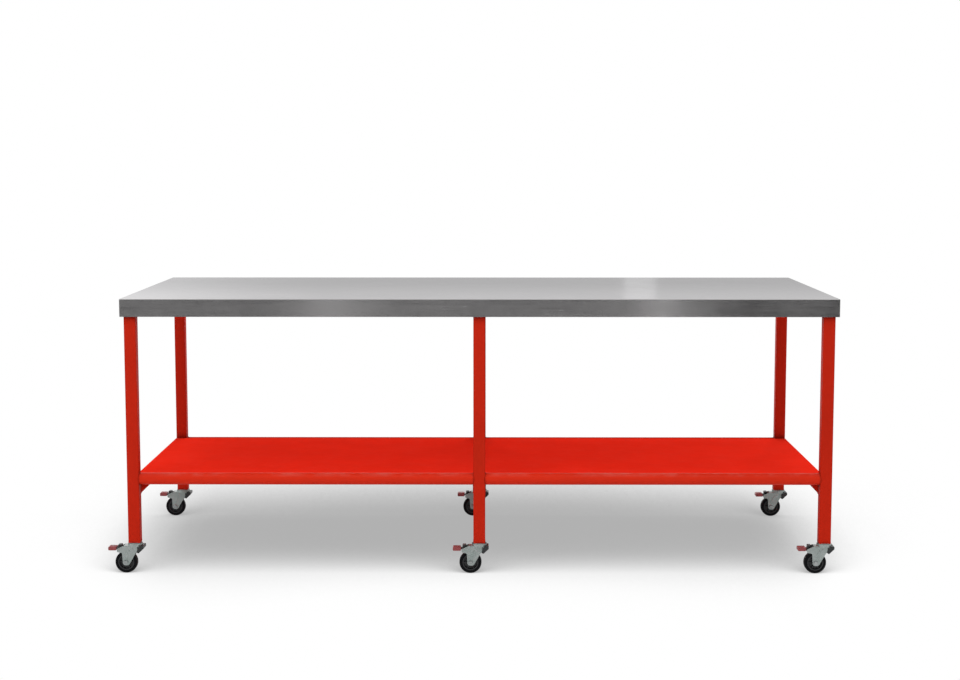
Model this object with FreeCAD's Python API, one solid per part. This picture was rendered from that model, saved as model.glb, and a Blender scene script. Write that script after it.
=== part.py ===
"""Mobile assembly table, millimetres, +Z up.

A stainless steel worktop lies on a welded frame of square tube with six legs and a lower shelf.
Each leg stands on a swivel castor with a brake. The table's length runs along X and its front
faces -Y. The origin is on the floor, under the middle of the whole part with its brake pedals.
"""
import FreeCAD, Part
import math
import os

Vector = FreeCAD.Vector

# Worktop: a folded sheet over a board.
TOP_LENGTH = 2400.0
TOP_DEPTH = 1000.0
TOP_HEIGHT = 935.0
SKIRT_HEIGHT = 60.0
SHEET_THICKNESS = 1.5
FOLD_RADIUS = 3.0
CORNER_RADIUS = 4.0
HEM_WIDTH = 8.0
BOARD_THICKNESS = 18.5

# Frame: square tube, with the leg faces set in from the worktop's edges.
TUBE_SIZE = 40.0
TUBE_WALL = 2.0
TUBE_RADIUS = 4.0
TOP_OVERHANG = 12.0
LEG_BOTTOM = 105.0
END_PLATE_THICKNESS = 5.0

# Lower shelf: a sheet on rails that ends against the back of a round front rail.
SHELF_HEIGHT = 310.0
SHELF_THICKNESS = 2.0
NOTCH_GAP = 0.5
FRONT_RAIL_HEIGHT = 323.0
FRONT_RAIL_GAP = 0.3

# Fixings between the frame and the board.
TAB_SIZE = 30.0
TAB_THICKNESS = 3.0
TABS_PER_BAY = 2
SCREW_RADIUS = 2.5
SCREW_LENGTH = 16.0
SCREW_HEAD_RADIUS = 5.0
SCREW_HEAD_HEIGHT = 3.0
SCREW_CLEARANCE = 0.25

# Castor stem, upper race and swivel pin, which are one forging, and the nut that holds the stem.
STEM_RADIUS = 6.0
STEM_LENGTH = 24.0
STEM_CLEARANCE = 0.1
STEM_NUT_ACROSS_FLATS = 19.0
STEM_NUT_HEIGHT = 10.0
UPPER_RACE_RADIUS = 22.0
SWIVEL_PIN_RADIUS = 5.0
PIN_HEAD_RADIUS = 9.0
PIN_HEAD_HEIGHT = 3.5
BALL_RADIUS = 2.5
BALL_CIRCLE_RADIUS = 16.0
BALLS_PER_RACE = 12
RACE_GAP = 0.3

# Castor wheel. In a castor's own frame the swivel axis is at x = 0 and the wheel trails to -X.
WHEEL_RADIUS = 37.5
WHEEL_TRAIL = 30.0
TYRE_WIDTH = 24.0
TYRE_SHOULDER = 5.0
TYRE_BORE_RADIUS = 27.0
RIM_WALL = 3.5
WEB_THICKNESS = 6.0
WEB_FILLET = 1.5
RIB_COUNT = 6
RIB_THICKNESS = 2.5
RIB_WIDTH = 17.0
HUB_RADIUS = 10.0
HUB_WIDTH = 29.0
BUSH_RADIUS = 6.0
BUSH_WIDTH = 30.6
AXLE_RADIUS = 4.0
RUNNING_CLEARANCE = 0.05
AXLE_HEX_ACROSS_FLATS = 13.0
AXLE_HEAD_HEIGHT = 5.3
AXLE_NUT_HEIGHT = 7.5
AXLE_TIP = 2.0

# Castor fork, pressed from sheet: two cheeks, a top plate between them and a cup for the balls.
FORK_WIDTH = 36.0
FORK_SHEET = 2.5
FORK_TOP = 95.5
FORK_BEND_RADIUS = 3.0
FORK_REAR = -60.0
FORK_FRONT = 24.0
CHEEK_REAR_TOP = 84.0
CHEEK_REAR_BOTTOM = 73.0
CHEEK_WAIST_HEIGHT = 70.0
CHEEK_WAIST_REAR = -42.0
CHEEK_WAIST_FRONT = 4.0
CHEEK_BOSS_RADIUS = 10.0
CHEEK_NOSE_HEIGHT = 89.0
CHEEK_CORNER_RADIUS = 5.0
TOP_PLATE_REAR = -36.0
CUP_RADIUS = 25.0
CUP_WALL = 2.0
CUP_RIM_TOP = 103.0
PIN_HOLE_CLEARANCE = 0.1

# Brake: a rocker on a pin across the fork, with a pedal behind and a release hood in front.
BRAKE_PIVOT_X = -8.0
BRAKE_PIVOT_Z = 80.0
BRAKE_PIN_RADIUS = 2.5
BRAKE_PIN_HEAD_RADIUS = 4.0
BRAKE_PIN_HEAD_HEIGHT = 1.5
LEVER_WIDTH = 20.0
LEVER_THICKNESS = 4.0
LEVER_EYE_RADIUS = 5.0
LEVER_BEND_RADIUS = 1.5
KNUCKLE_REAR = -57.0
KNUCKLE_FRONT = -44.0
KNUCKLE_TOP = 98.0
SHOE_BOTTOM = 76.2
SHOE_FRONT = -41.0
SHOE_REAR = -52.0
TONGUE_BOTTOM = 82.5
TONGUE_LENGTH = 24.0
TAB_INNER_X = 28.0
TAB_BEND_X = 20.0
TAB_BEND_TOP = 92.0
HOOD_TOP = 96.0
HOOD_REAR = 10.0
HOOD_HEEL_HEIGHT = 80.0
HOOD_BROW_HEIGHT = 86.0
HOOD_CHIN = (14.0, 69.0)
HOOD_TOE = (7.0, 73.0)
HOOD_WALL = 3.0
HOOD_SIDE_GAP = 0.6
HOOD_CUP_GAP = 1.8
HOOD_CUP_DEPTH = 6.0
HOOD_ROUNDING = 3.0
PEDAL_REACH = 90.0
PEDAL_LENGTH = 28.0
PEDAL_WIDTH = 30.0
PEDAL_HEIGHT = 13.0
PEDAL_BOTTOM = 78.0
PEDAL_ROUNDING = 4.0
PEDAL_EDGE_ROUNDING = 1.5
PEDAL_SOCKET_GAP = 0.1
PEDAL_RIB_COUNT = 4
PEDAL_RIB_PITCH = 5.0
PEDAL_RIB_WIDTH = 2.0
PEDAL_RIB_HEIGHT = 1.0

# Places worked out from the sizes above.
SKIRT_BOTTOM = TOP_HEIGHT - SKIRT_HEIGHT
BOARD_BOTTOM = TOP_HEIGHT - SHEET_THICKNESS - BOARD_THICKNESS
TOP_RAIL_HEIGHT = BOARD_BOTTOM - TUBE_SIZE / 2
SHELF_RAIL_HEIGHT = SHELF_HEIGHT - SHELF_THICKNESS - TUBE_SIZE / 2
LEG_X = TOP_LENGTH / 2 - TOP_OVERHANG - TUBE_SIZE / 2
LEG_Y = TOP_DEPTH / 2 - TOP_OVERHANG - TUBE_SIZE / 2
LEG_INNER_X = LEG_X - TUBE_SIZE / 2
LEG_INNER_Y = LEG_Y - TUBE_SIZE / 2
LEG_OUTER_X = LEG_X + TUBE_SIZE / 2
LEG_OUTER_Y = LEG_Y + TUBE_SIZE / 2
UPPER_RACE_BOTTOM = FORK_TOP + 2 * RACE_GAP + 2 * BALL_RADIUS
FORK_FLOOR = FORK_TOP - FORK_SHEET
CHEEK_INNER_Y = FORK_WIDTH / 2 - FORK_SHEET
TAB_OUTER_X = TAB_INNER_X + LEVER_THICKNESS
PEDAL_OVERHANG = LEG_X + PEDAL_REACH - TOP_LENGTH / 2
TABLE_SHIFT = Vector(PEDAL_OVERHANG / 2, 0, 0)

COLUMNS = {"left": -LEG_X, "middle": 0.0, "right": LEG_X}
ROWS = {"front": -LEG_Y, "back": LEG_Y}

# How a section's two coordinates and a place along its axis map to X, Y and Z.
SECTION_PLANES = {
    "X": lambda u, v, along: Vector(along, u, v),
    "Y": lambda u, v, along: Vector(u, along, v),
    "Z": lambda u, v, along: Vector(u, v, along),
}
SHORTEST_EDGE = 1e-6
HEX_SIDES = 6


def rounded_wire(corners, axis, along):
    """Closed wire across an axis, through corners (u, v, radius), each rounded by its radius."""
    place = SECTION_PLANES[axis]
    points = [place(u, v, along) for u, v, _ in corners]
    turns = []
    for index, (_, _, radius) in enumerate(corners):
        corner = points[index]
        backward = (points[index - 1] - corner).normalize()
        forward = (points[(index + 1) % len(points)] - corner).normalize()
        half_angle = backward.getAngle(forward) / 2
        setback = radius / math.tan(half_angle)
        crown_depth = radius / math.sin(half_angle) - radius
        crown = corner + (backward + forward).normalize() * crown_depth
        turns.append((corner + backward * setback, crown, corner + forward * setback))
    edges = []
    for index, (start, crown, end) in enumerate(turns):
        if corners[index][2] > 0:
            edges.append(Part.Arc(start, crown, end).toShape())
        next_start = turns[(index + 1) % len(turns)][0]
        if end.distanceToPoint(next_start) > SHORTEST_EDGE:
            edges.append(Part.LineSegment(end, next_start).toShape())
    return Part.Wire(edges)


def prism(corners, axis, start, end):
    """Solid with a rounded section, from start to end along an axis."""
    direction = SECTION_PLANES[axis](0, 0, end - start)
    return Part.Face(rounded_wire(corners, axis, start)).extrude(direction)


def rectangle(centre_u, centre_v, width, height, radius=0.0):
    """Corners of a rectangle for rounded_wire."""
    return [
        (centre_u - width / 2, centre_v - height / 2, radius),
        (centre_u + width / 2, centre_v - height / 2, radius),
        (centre_u + width / 2, centre_v + height / 2, radius),
        (centre_u - width / 2, centre_v + height / 2, radius),
    ]


def block(x_range, y_range, z_range):
    """Plain box between pairs of limits."""
    corner = Vector(x_range[0], y_range[0], z_range[0])
    sizes = [high - low for low, high in (x_range, y_range, z_range)]
    return Part.makeBox(*sizes, corner)


def cylinder(radius, axis, centre, start, end):
    """Cylinder along an axis, with its centre given in the section's two coordinates."""
    place = SECTION_PLANES[axis]
    return Part.makeCylinder(radius, end - start, place(*centre, start), place(0, 0, 1))


def hexagon(across_flats, axis, centre, start, end):
    """Hexagonal bolt head or nut blank along an axis."""
    corner_radius = across_flats / 2 / math.cos(math.pi / HEX_SIDES)
    corners = []
    for side in range(HEX_SIDES):
        angle = 2 * math.pi * side / HEX_SIDES
        corners.append(
            (centre[0] + corner_radius * math.cos(angle), centre[1] + corner_radius * math.sin(angle), 0.0)
        )
    return prism(corners, axis, start, end)


def square_tube(axis, centre, start, end):
    """Hollow square tube of the frame, along an axis."""
    outside = prism(rectangle(*centre, TUBE_SIZE, TUBE_SIZE, TUBE_RADIUS), axis, start, end)
    bore_size = TUBE_SIZE - 2 * TUBE_WALL
    bore = prism(rectangle(*centre, bore_size, bore_size, TUBE_RADIUS - TUBE_WALL), axis, start, end)
    return outside.cut(bore)


def leg_places():
    """Name and centre of each leg, such as front_left."""
    for row, y in ROWS.items():
        for column, x in COLUMNS.items():
            yield f"{row}_{column}", Vector(x, y, 0)


def bays():
    """X limits of the two bays between the legs, left and right."""
    half_tube = TUBE_SIZE / 2
    return [(-LEG_INNER_X, -half_tube), (half_tube, LEG_INNER_X)]


# Worktop

def worktop_skin():
    """Folded sheet with a skirt on all four sides and a hem turned in under it."""
    outside = prism(rectangle(0, 0, TOP_LENGTH, TOP_DEPTH, CORNER_RADIUS), "Z", SKIRT_BOTTOM, TOP_HEIGHT)
    top_edges = [edge for edge in outside.Edges if edge.BoundBox.ZMin > TOP_HEIGHT - SHORTEST_EDGE]
    outside = outside.makeFillet(FOLD_RADIUS, top_edges)
    cavity = worktop_inside(SKIRT_BOTTOM, TOP_HEIGHT - SHEET_THICKNESS)
    opening_length = TOP_LENGTH - 2 * (SHEET_THICKNESS + HEM_WIDTH)
    opening_depth = TOP_DEPTH - 2 * (SHEET_THICKNESS + HEM_WIDTH)
    hem = worktop_inside(SKIRT_BOTTOM, SKIRT_BOTTOM + SHEET_THICKNESS)
    hem = hem.cut(prism(rectangle(0, 0, opening_length, opening_depth), "Z", SKIRT_BOTTOM, TOP_HEIGHT))
    return outside.cut(cavity).fuse(hem).removeSplitter()


def worktop_inside(bottom, top):
    """Space inside the skirt, between two heights."""
    length = TOP_LENGTH - 2 * SHEET_THICKNESS
    depth = TOP_DEPTH - 2 * SHEET_THICKNESS
    corners = rectangle(0, 0, length, depth, CORNER_RADIUS - SHEET_THICKNESS)
    return prism(corners, "Z", bottom, top)


def worktop_board():
    """Board under the sheet, with a blind hole for each screw."""
    board = worktop_inside(BOARD_BOTTOM, BOARD_BOTTOM + BOARD_THICKNESS)
    for x, y in tab_centres():
        hole_end = BOARD_BOTTOM + SCREW_LENGTH - TAB_THICKNESS + SCREW_CLEARANCE
        board = board.cut(cylinder(SCREW_RADIUS + SCREW_CLEARANCE, "Z", (x, y), BOARD_BOTTOM, hole_end))
    return board


# Frame

def legs():
    """Six legs, each in a node of its own."""
    tubes = {}
    for name, centre in leg_places():
        bottom = LEG_BOTTOM + END_PLATE_THICKNESS
        tubes[f"leg_{name}"] = square_tube("Z", (centre.x, centre.y), bottom, BOARD_BOTTOM)
    return tubes


def leg_end_plates():
    """Plate that closes each leg, with the weld nut that the castor's stem screws into."""
    plates = []
    for _, centre in leg_places():
        middle = (centre.x, centre.y)
        plate_top = LEG_BOTTOM + END_PLATE_THICKNESS
        nut_top = plate_top + STEM_NUT_HEIGHT
        plate = prism(rectangle(*middle, TUBE_SIZE, TUBE_SIZE, TUBE_RADIUS), "Z", LEG_BOTTOM, plate_top)
        plate = plate.fuse(hexagon(STEM_NUT_ACROSS_FLATS, "Z", middle, plate_top, nut_top))
        hole = cylinder(STEM_RADIUS + STEM_CLEARANCE, "Z", middle, LEG_BOTTOM, nut_top)
        plates.append(plate.cut(hole))
    return Part.makeCompound(plates)


def long_rails(height, rows):
    """Rails along the given rows, one in each bay."""
    rails = []
    for row in rows:
        for start, end in bays():
            rails.append(square_tube("X", (ROWS[row], height), start, end))
    return rails


def cross_rails(height):
    """Rails from the front legs to the back legs."""
    return [square_tube("Y", (x, height), -LEG_INNER_Y, LEG_INNER_Y) for x in COLUMNS.values()]


def tab_centres():
    """Middle of each fixing tab: some on the front rail and some on the back rail of each bay."""
    for start, end in bays():
        for place in range(TABS_PER_BAY):
            x = start + (end - start) * (place + 0.5) / TABS_PER_BAY
            for side in (-1, 1):
                yield x, side * (LEG_INNER_Y - TAB_SIZE / 2)


def fixing_tabs():
    """Flat tabs welded to the rails just under the board, with a hole for a screw."""
    tabs = []
    for x, y in tab_centres():
        bottom = BOARD_BOTTOM - TAB_THICKNESS
        tab = prism(rectangle(x, y, TAB_SIZE, TAB_SIZE), "Z", bottom, BOARD_BOTTOM)
        tabs.append(tab.cut(cylinder(SCREW_RADIUS + SCREW_CLEARANCE, "Z", (x, y), bottom, BOARD_BOTTOM)))
    return Part.makeCompound(tabs)


def fixing_screws():
    """Screws from below, through the tabs and into the board."""
    screws = []
    for x, y in tab_centres():
        seat = BOARD_BOTTOM - TAB_THICKNESS
        shank = cylinder(SCREW_RADIUS, "Z", (x, y), seat, seat + SCREW_LENGTH)
        head = cylinder(SCREW_HEAD_RADIUS, "Z", (x, y), seat - SCREW_HEAD_HEIGHT, seat)
        screws.append(shank.fuse(head).removeSplitter())
    return Part.makeCompound(screws)


# Lower shelf

def shelf_sheet():
    """Flat sheet on the rails, notched round the front legs, from front rail to back legs."""
    rail_reach = math.sqrt((TUBE_SIZE / 2) ** 2 - (FRONT_RAIL_HEIGHT - SHELF_HEIGHT) ** 2)
    front = ROWS["front"] + rail_reach + FRONT_RAIL_GAP
    bottom = SHELF_HEIGHT - SHELF_THICKNESS
    sheet = block((-LEG_OUTER_X, LEG_OUTER_X), (front, LEG_INNER_Y), (bottom, SHELF_HEIGHT))
    for x in COLUMNS.values():
        notch_size = TUBE_SIZE + 2 * NOTCH_GAP
        notch = rectangle(x, ROWS["front"], notch_size, notch_size)
        sheet = sheet.cut(prism(notch, "Z", bottom, SHELF_HEIGHT))
    return sheet


def shelf_front_rail():
    """Round rail along the sheet's front edge, one length in each bay."""
    rails = []
    for start, end in bays():
        centre = (ROWS["front"], FRONT_RAIL_HEIGHT)
        outside = cylinder(TUBE_SIZE / 2, "X", centre, start, end)
        rails.append(outside.cut(cylinder(TUBE_SIZE / 2 - TUBE_WALL, "X", centre, start, end)))
    return Part.makeCompound(rails)


def shelf_support_rails():
    """Square rails under the sheet: three across and one length behind each bay."""
    return Part.makeCompound(cross_rails(SHELF_RAIL_HEIGHT) + long_rails(SHELF_RAIL_HEIGHT, ["back"]))


# Castors

def castor_stem():
    """Stem, upper race and swivel pin, which stay still while the fork turns."""
    axis = (0, 0)
    race = cylinder(UPPER_RACE_RADIUS, "Z", axis, UPPER_RACE_BOTTOM, LEG_BOTTOM)
    stem = cylinder(STEM_RADIUS, "Z", axis, LEG_BOTTOM, LEG_BOTTOM + STEM_LENGTH)
    head_top = FORK_FLOOR - RACE_GAP
    pin = cylinder(SWIVEL_PIN_RADIUS, "Z", axis, head_top, UPPER_RACE_BOTTOM)
    head = cylinder(PIN_HEAD_RADIUS, "Z", axis, head_top - PIN_HEAD_HEIGHT, head_top)
    return race.fuse([stem, pin, head]).removeSplitter()


def swivel_balls():
    """Ring of balls between the fork's cup and the upper race."""
    height = FORK_TOP + RACE_GAP + BALL_RADIUS
    balls = []
    for index in range(BALLS_PER_RACE):
        angle = 2 * math.pi * index / BALLS_PER_RACE
        place = Vector(math.cos(angle), math.sin(angle), 0) * BALL_CIRCLE_RADIUS
        balls.append(Part.makeSphere(BALL_RADIUS, place + Vector(0, 0, height)))
    return Part.makeCompound(balls)


def cheek_corners():
    """Side outline of the fork, from its wide head down to the axle boss."""
    boss_bottom = WHEEL_RADIUS - CHEEK_BOSS_RADIUS
    return [
        (TOP_PLATE_REAR, FORK_TOP, 0.0),
        (FORK_REAR, CHEEK_REAR_TOP, CHEEK_CORNER_RADIUS),
        (FORK_REAR, CHEEK_REAR_BOTTOM, CHEEK_CORNER_RADIUS),
        (CHEEK_WAIST_REAR, CHEEK_WAIST_HEIGHT, CHEEK_CORNER_RADIUS),
        (-WHEEL_TRAIL - CHEEK_BOSS_RADIUS, boss_bottom, CHEEK_BOSS_RADIUS),
        (-WHEEL_TRAIL + CHEEK_BOSS_RADIUS, boss_bottom, CHEEK_BOSS_RADIUS),
        (CHEEK_WAIST_FRONT, CHEEK_WAIST_HEIGHT, 2 * CHEEK_CORNER_RADIUS),
        (FORK_FRONT, CHEEK_NOSE_HEIGHT, CHEEK_CORNER_RADIUS),
        (FORK_FRONT, FORK_TOP, 0.0),
    ]


def castor_fork():
    """Pressed fork: a bent channel, round in front and open behind, with a cup round the pin."""
    half_width = FORK_WIDTH / 2
    channel = prism(cheek_corners(), "Y", -half_width, half_width)
    bends = [edge for edge in channel.Edges if is_fork_bend(edge)]
    channel = channel.makeFillet(FORK_BEND_RADIUS, bends)
    inside_y = (-CHEEK_INNER_Y, CHEEK_INNER_Y)
    whole_x = (FORK_REAR - FORK_SHEET, FORK_FRONT + FORK_SHEET)
    channel = channel.cut(block(whole_x, inside_y, (0, FORK_FLOOR)))
    channel = channel.cut(block((whole_x[0], TOP_PLATE_REAR), inside_y, (0, FORK_TOP + FORK_SHEET)))
    axis = (0, 0)
    front_half = block((0, whole_x[1]), (-FORK_WIDTH, FORK_WIDTH), (0, FORK_TOP + FORK_SHEET))
    nose = cylinder(FORK_FRONT, "Z", axis, 0, FORK_TOP + FORK_SHEET)
    channel = channel.cut(front_half.cut(nose))
    cup = cylinder(CUP_RADIUS, "Z", axis, FORK_FLOOR, CUP_RIM_TOP)
    cup = cup.cut(cylinder(CUP_RADIUS - CUP_WALL, "Z", axis, FORK_TOP, CUP_RIM_TOP))
    fork = channel.fuse(cup).removeSplitter()
    pin_hole = cylinder(SWIVEL_PIN_RADIUS + RUNNING_CLEARANCE, "Z", axis, FORK_FLOOR, FORK_TOP)
    axle_hole = cross_hole(AXLE_RADIUS, (-WHEEL_TRAIL, WHEEL_RADIUS))
    brake_hole = cross_hole(BRAKE_PIN_RADIUS, (BRAKE_PIVOT_X, BRAKE_PIVOT_Z))
    return fork.cut([pin_hole, axle_hole, brake_hole])


def is_fork_bend(edge):
    """True for the long top edges along X, where each cheek bends into the top plate."""
    box = edge.BoundBox
    return box.ZMin > FORK_TOP - SHORTEST_EDGE and box.XLength > FORK_WIDTH


def cross_hole(radius, centre):
    """Cutter for a hole through both cheeks that is a little wider than its pin."""
    half_width = FORK_WIDTH / 2
    return cylinder(radius + PIN_HOLE_CLEARANCE, "Y", centre, -half_width, half_width)


def fork_pins():
    """Axle bolt, its nut and the brake's rivet, held in the fork."""
    half_width = FORK_WIDTH / 2
    axle = (-WHEEL_TRAIL, WHEEL_RADIUS)
    nut_end = half_width + AXLE_NUT_HEIGHT
    bolt = cylinder(AXLE_RADIUS, "Y", axle, -half_width, nut_end + AXLE_TIP)
    bolt_head = hexagon(AXLE_HEX_ACROSS_FLATS, "Y", axle, -half_width - AXLE_HEAD_HEIGHT, -half_width)
    bolt = bolt.fuse(bolt_head).removeSplitter()
    nut = hexagon(AXLE_HEX_ACROSS_FLATS, "Y", axle, half_width, nut_end)
    nut = nut.cut(cylinder(AXLE_RADIUS + RUNNING_CLEARANCE, "Y", axle, half_width, nut_end))
    pivot = (BRAKE_PIVOT_X, BRAKE_PIVOT_Z)
    rivet = cylinder(BRAKE_PIN_RADIUS, "Y", pivot, -half_width, half_width)
    for side in (-1, 1):
        ends = sorted((side * half_width, side * (half_width + BRAKE_PIN_HEAD_HEIGHT)))
        rivet = rivet.fuse(cylinder(BRAKE_PIN_HEAD_RADIUS, "Y", pivot, *ends))
    return Part.makeCompound([bolt, nut, rivet.removeSplitter()])


def turned(corners):
    """Solid turned about the wheel's axle from corners (radius, y, rounding)."""
    section = Part.Face(rounded_wire(corners, "Z", 0.0))
    solid = section.revolve(Vector(0, 0, 0), Vector(0, 1, 0), 360)
    solid.translate(Vector(-WHEEL_TRAIL, 0, WHEEL_RADIUS))
    return solid


def ring_corners(inner_radius, outer_radius, width, rounding=0.0):
    """Section of a ring about the axle, with its outer corners rounded."""
    return [
        (inner_radius, -width / 2, 0.0),
        (outer_radius, -width / 2, rounding),
        (outer_radius, width / 2, rounding),
        (inner_radius, width / 2, 0.0),
    ]


def tyre():
    """Solid tyre with rounded shoulders."""
    return turned(ring_corners(TYRE_BORE_RADIUS, WHEEL_RADIUS, TYRE_WIDTH, TYRE_SHOULDER))


def wheel_centre():
    """Moulded wheel centre: hub, web, rim and radial ribs."""
    rim_inner = TYRE_BORE_RADIUS - RIM_WALL
    centre = turned(ring_corners(rim_inner, TYRE_BORE_RADIUS, TYRE_WIDTH))
    centre = centre.fuse(turned(ring_corners(BUSH_RADIUS, HUB_RADIUS, HUB_WIDTH, WEB_FILLET)))
    centre = centre.fuse(turned(ring_corners(HUB_RADIUS, rim_inner, WEB_THICKNESS)))
    axle = Vector(-WHEEL_TRAIL, 0, WHEEL_RADIUS)
    rib_start = (BUSH_RADIUS + HUB_RADIUS) / 2
    rib_end = TYRE_BORE_RADIUS - RIM_WALL / 2
    for index in range(RIB_COUNT):
        rib = block(
            (rib_start, rib_end),
            (-RIB_WIDTH / 2, RIB_WIDTH / 2),
            (-RIB_THICKNESS / 2, RIB_THICKNESS / 2),
        )
        rib.rotate(Vector(0, 0, 0), Vector(0, 1, 0), 360.0 * index / RIB_COUNT)
        rib.translate(axle)
        centre = centre.fuse(rib)
    return centre.removeSplitter()


def wheel_bush():
    """Steel sleeve in the hub that turns on the axle bolt."""
    return turned(ring_corners(AXLE_RADIUS + RUNNING_CLEARANCE, BUSH_RADIUS, BUSH_WIDTH))


def lever_corners():
    """Side outline of the brake rocker: tongue, shoe, strap, front tab and knuckle."""
    strap_bottom = BRAKE_PIVOT_Z - LEVER_THICKNESS / 2
    strap_top = BRAKE_PIVOT_Z + LEVER_THICKNESS / 2
    tongue_top = TONGUE_BOTTOM + LEVER_THICKNESS
    bend = LEVER_BEND_RADIUS
    return [
        (KNUCKLE_REAR - TONGUE_LENGTH, TONGUE_BOTTOM, bend),
        (KNUCKLE_REAR, TONGUE_BOTTOM, bend),
        (SHOE_REAR, SHOE_BOTTOM, bend),
        (SHOE_FRONT, SHOE_BOTTOM, bend),
        (SHOE_FRONT + LEVER_THICKNESS, strap_bottom, bend),
        (TAB_BEND_X + LEVER_THICKNESS / 2, strap_bottom, 2 * bend),
        (TAB_OUTER_X, TAB_BEND_TOP - LEVER_THICKNESS / 2, 2 * bend),
        (TAB_OUTER_X, HOOD_TOP - HOOD_ROUNDING, bend),
        (TAB_INNER_X, HOOD_TOP - HOOD_ROUNDING, bend),
        (TAB_INNER_X, TAB_BEND_TOP, bend),
        (TAB_BEND_X, strap_top, bend),
        (KNUCKLE_FRONT, strap_top, bend),
        (KNUCKLE_FRONT, KNUCKLE_TOP, 2 * bend),
        (KNUCKLE_REAR, KNUCKLE_TOP, 2 * bend),
        (KNUCKLE_REAR, tongue_top, bend),
        (KNUCKLE_REAR - TONGUE_LENGTH, tongue_top, bend),
    ]


def release_hood():
    """Hood on the rocker's front tab: it wraps the fork's nose and leaves room for the cup."""
    inner_y = FORK_WIDTH / 2 + HOOD_SIDE_GAP
    outer_y = inner_y + HOOD_WALL
    corners = [
        (HOOD_REAR, HOOD_TOP, HOOD_ROUNDING),
        (HOOD_REAR, HOOD_HEEL_HEIGHT, HOOD_ROUNDING),
        (*HOOD_TOE, HOOD_ROUNDING),
        (*HOOD_CHIN, HOOD_ROUNDING),
        (TAB_OUTER_X, HOOD_BROW_HEIGHT, HOOD_ROUNDING),
        (TAB_OUTER_X, HOOD_TOP, HOOD_ROUNDING),
    ]
    hood = prism(corners, "Y", -outer_y, outer_y)
    hood = hood.cut(block((0, TAB_INNER_X), (-inner_y, inner_y), (0, HOOD_TOP - HOOD_WALL)))
    cup_room = cylinder(CUP_RADIUS + HOOD_CUP_GAP, "Z", (0, 0), HOOD_TOP - HOOD_CUP_DEPTH, HOOD_TOP)
    return hood.cut(cup_room)


def brake_lever():
    """Rocker that turns on the rivet: the shoe under its rear end meets the tyre."""
    half_width = LEVER_WIDTH / 2
    pivot = (BRAKE_PIVOT_X, BRAKE_PIVOT_Z)
    lever = prism(lever_corners(), "Y", -half_width, half_width)
    lever = lever.fuse([cylinder(LEVER_EYE_RADIUS, "Y", pivot, -half_width, half_width), release_hood()])
    bore = cylinder(BRAKE_PIN_RADIUS + RUNNING_CLEARANCE, "Y", pivot, -half_width, half_width)
    return lever.cut(bore).removeSplitter()


def brake_pedal():
    """Ribbed pad that slips over the rocker's tongue."""
    half_width = PEDAL_WIDTH / 2
    middle_x = -PEDAL_REACH + PEDAL_LENGTH / 2
    middle_z = PEDAL_BOTTOM + PEDAL_HEIGHT / 2
    corners = rectangle(middle_x, middle_z, PEDAL_LENGTH, PEDAL_HEIGHT, PEDAL_ROUNDING)
    pedal = prism(corners, "Y", -half_width, half_width)
    rim_edges = [edge for edge in pedal.Edges if edge.BoundBox.YLength < SHORTEST_EDGE]
    pedal = pedal.makeFillet(PEDAL_EDGE_ROUNDING, rim_edges)
    pedal_top = PEDAL_BOTTOM + PEDAL_HEIGHT
    for index in range(PEDAL_RIB_COUNT):
        rib_x = middle_x + (index - (PEDAL_RIB_COUNT - 1) / 2) * PEDAL_RIB_PITCH
        rib = block(
            (rib_x - PEDAL_RIB_WIDTH / 2, rib_x + PEDAL_RIB_WIDTH / 2),
            (-half_width + PEDAL_ROUNDING, half_width - PEDAL_ROUNDING),
            (pedal_top - PEDAL_RIB_HEIGHT, pedal_top + PEDAL_RIB_HEIGHT),
        )
        pedal = pedal.fuse(rib)
    socket_y = LEVER_WIDTH / 2 + PEDAL_SOCKET_GAP
    tongue_end = KNUCKLE_REAR - TONGUE_LENGTH - PEDAL_SOCKET_GAP
    tongue_top = TONGUE_BOTTOM + LEVER_THICKNESS
    socket = block(
        (tongue_end, KNUCKLE_REAR),
        (-socket_y, socket_y),
        (TONGUE_BOTTOM - PEDAL_SOCKET_GAP, tongue_top + PEDAL_SOCKET_GAP),
    )
    return pedal.cut(socket).removeSplitter()


def castor_pieces():
    """The pieces of one castor that turn with its fork, wheel or brake, in the castor's frame."""
    return {
        "fork": castor_fork(),
        "fork_pins": fork_pins(),
        "tyre": tyre(),
        "wheel_centre": wheel_centre(),
        "wheel_bush": wheel_bush(),
        "brake_lever": brake_lever(),
        "brake_pedal": brake_pedal(),
    }


def at_every_leg(shape):
    """The same shape under each leg, as one group."""
    return Part.makeCompound([shape.translated(centre) for _, centre in leg_places()])


def all_nodes():
    """Every node's name and shape, about the table's own middle."""
    nodes = {
        "worktop_skin": worktop_skin(),
        "worktop_board": worktop_board(),
        "top_long_rails": Part.makeCompound(long_rails(TOP_RAIL_HEIGHT, ROWS)),
        "top_cross_rails": Part.makeCompound(cross_rails(TOP_RAIL_HEIGHT)),
        "leg_end_plates": leg_end_plates(),
        "fixing_tabs": fixing_tabs(),
        "fixing_screws": fixing_screws(),
        "shelf_sheet": shelf_sheet(),
        "shelf_front_rail": shelf_front_rail(),
        "shelf_support_rails": shelf_support_rails(),
        "castor_stems": at_every_leg(castor_stem()),
        "swivel_balls": at_every_leg(swivel_balls()),
    }
    nodes.update(legs())
    pieces = castor_pieces()
    for leg_name, centre in leg_places():
        for piece_name, shape in pieces.items():
            nodes[f"{piece_name}_{leg_name}"] = shape.translated(centre)
    return nodes


def main():
    """Write one STEP file for each node."""
    os.makedirs("parts", exist_ok=True)
    for name, shape in all_nodes().items():
        shape.translated(TABLE_SHIFT).exportStep(f"parts/{name}.step")


main()
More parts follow.
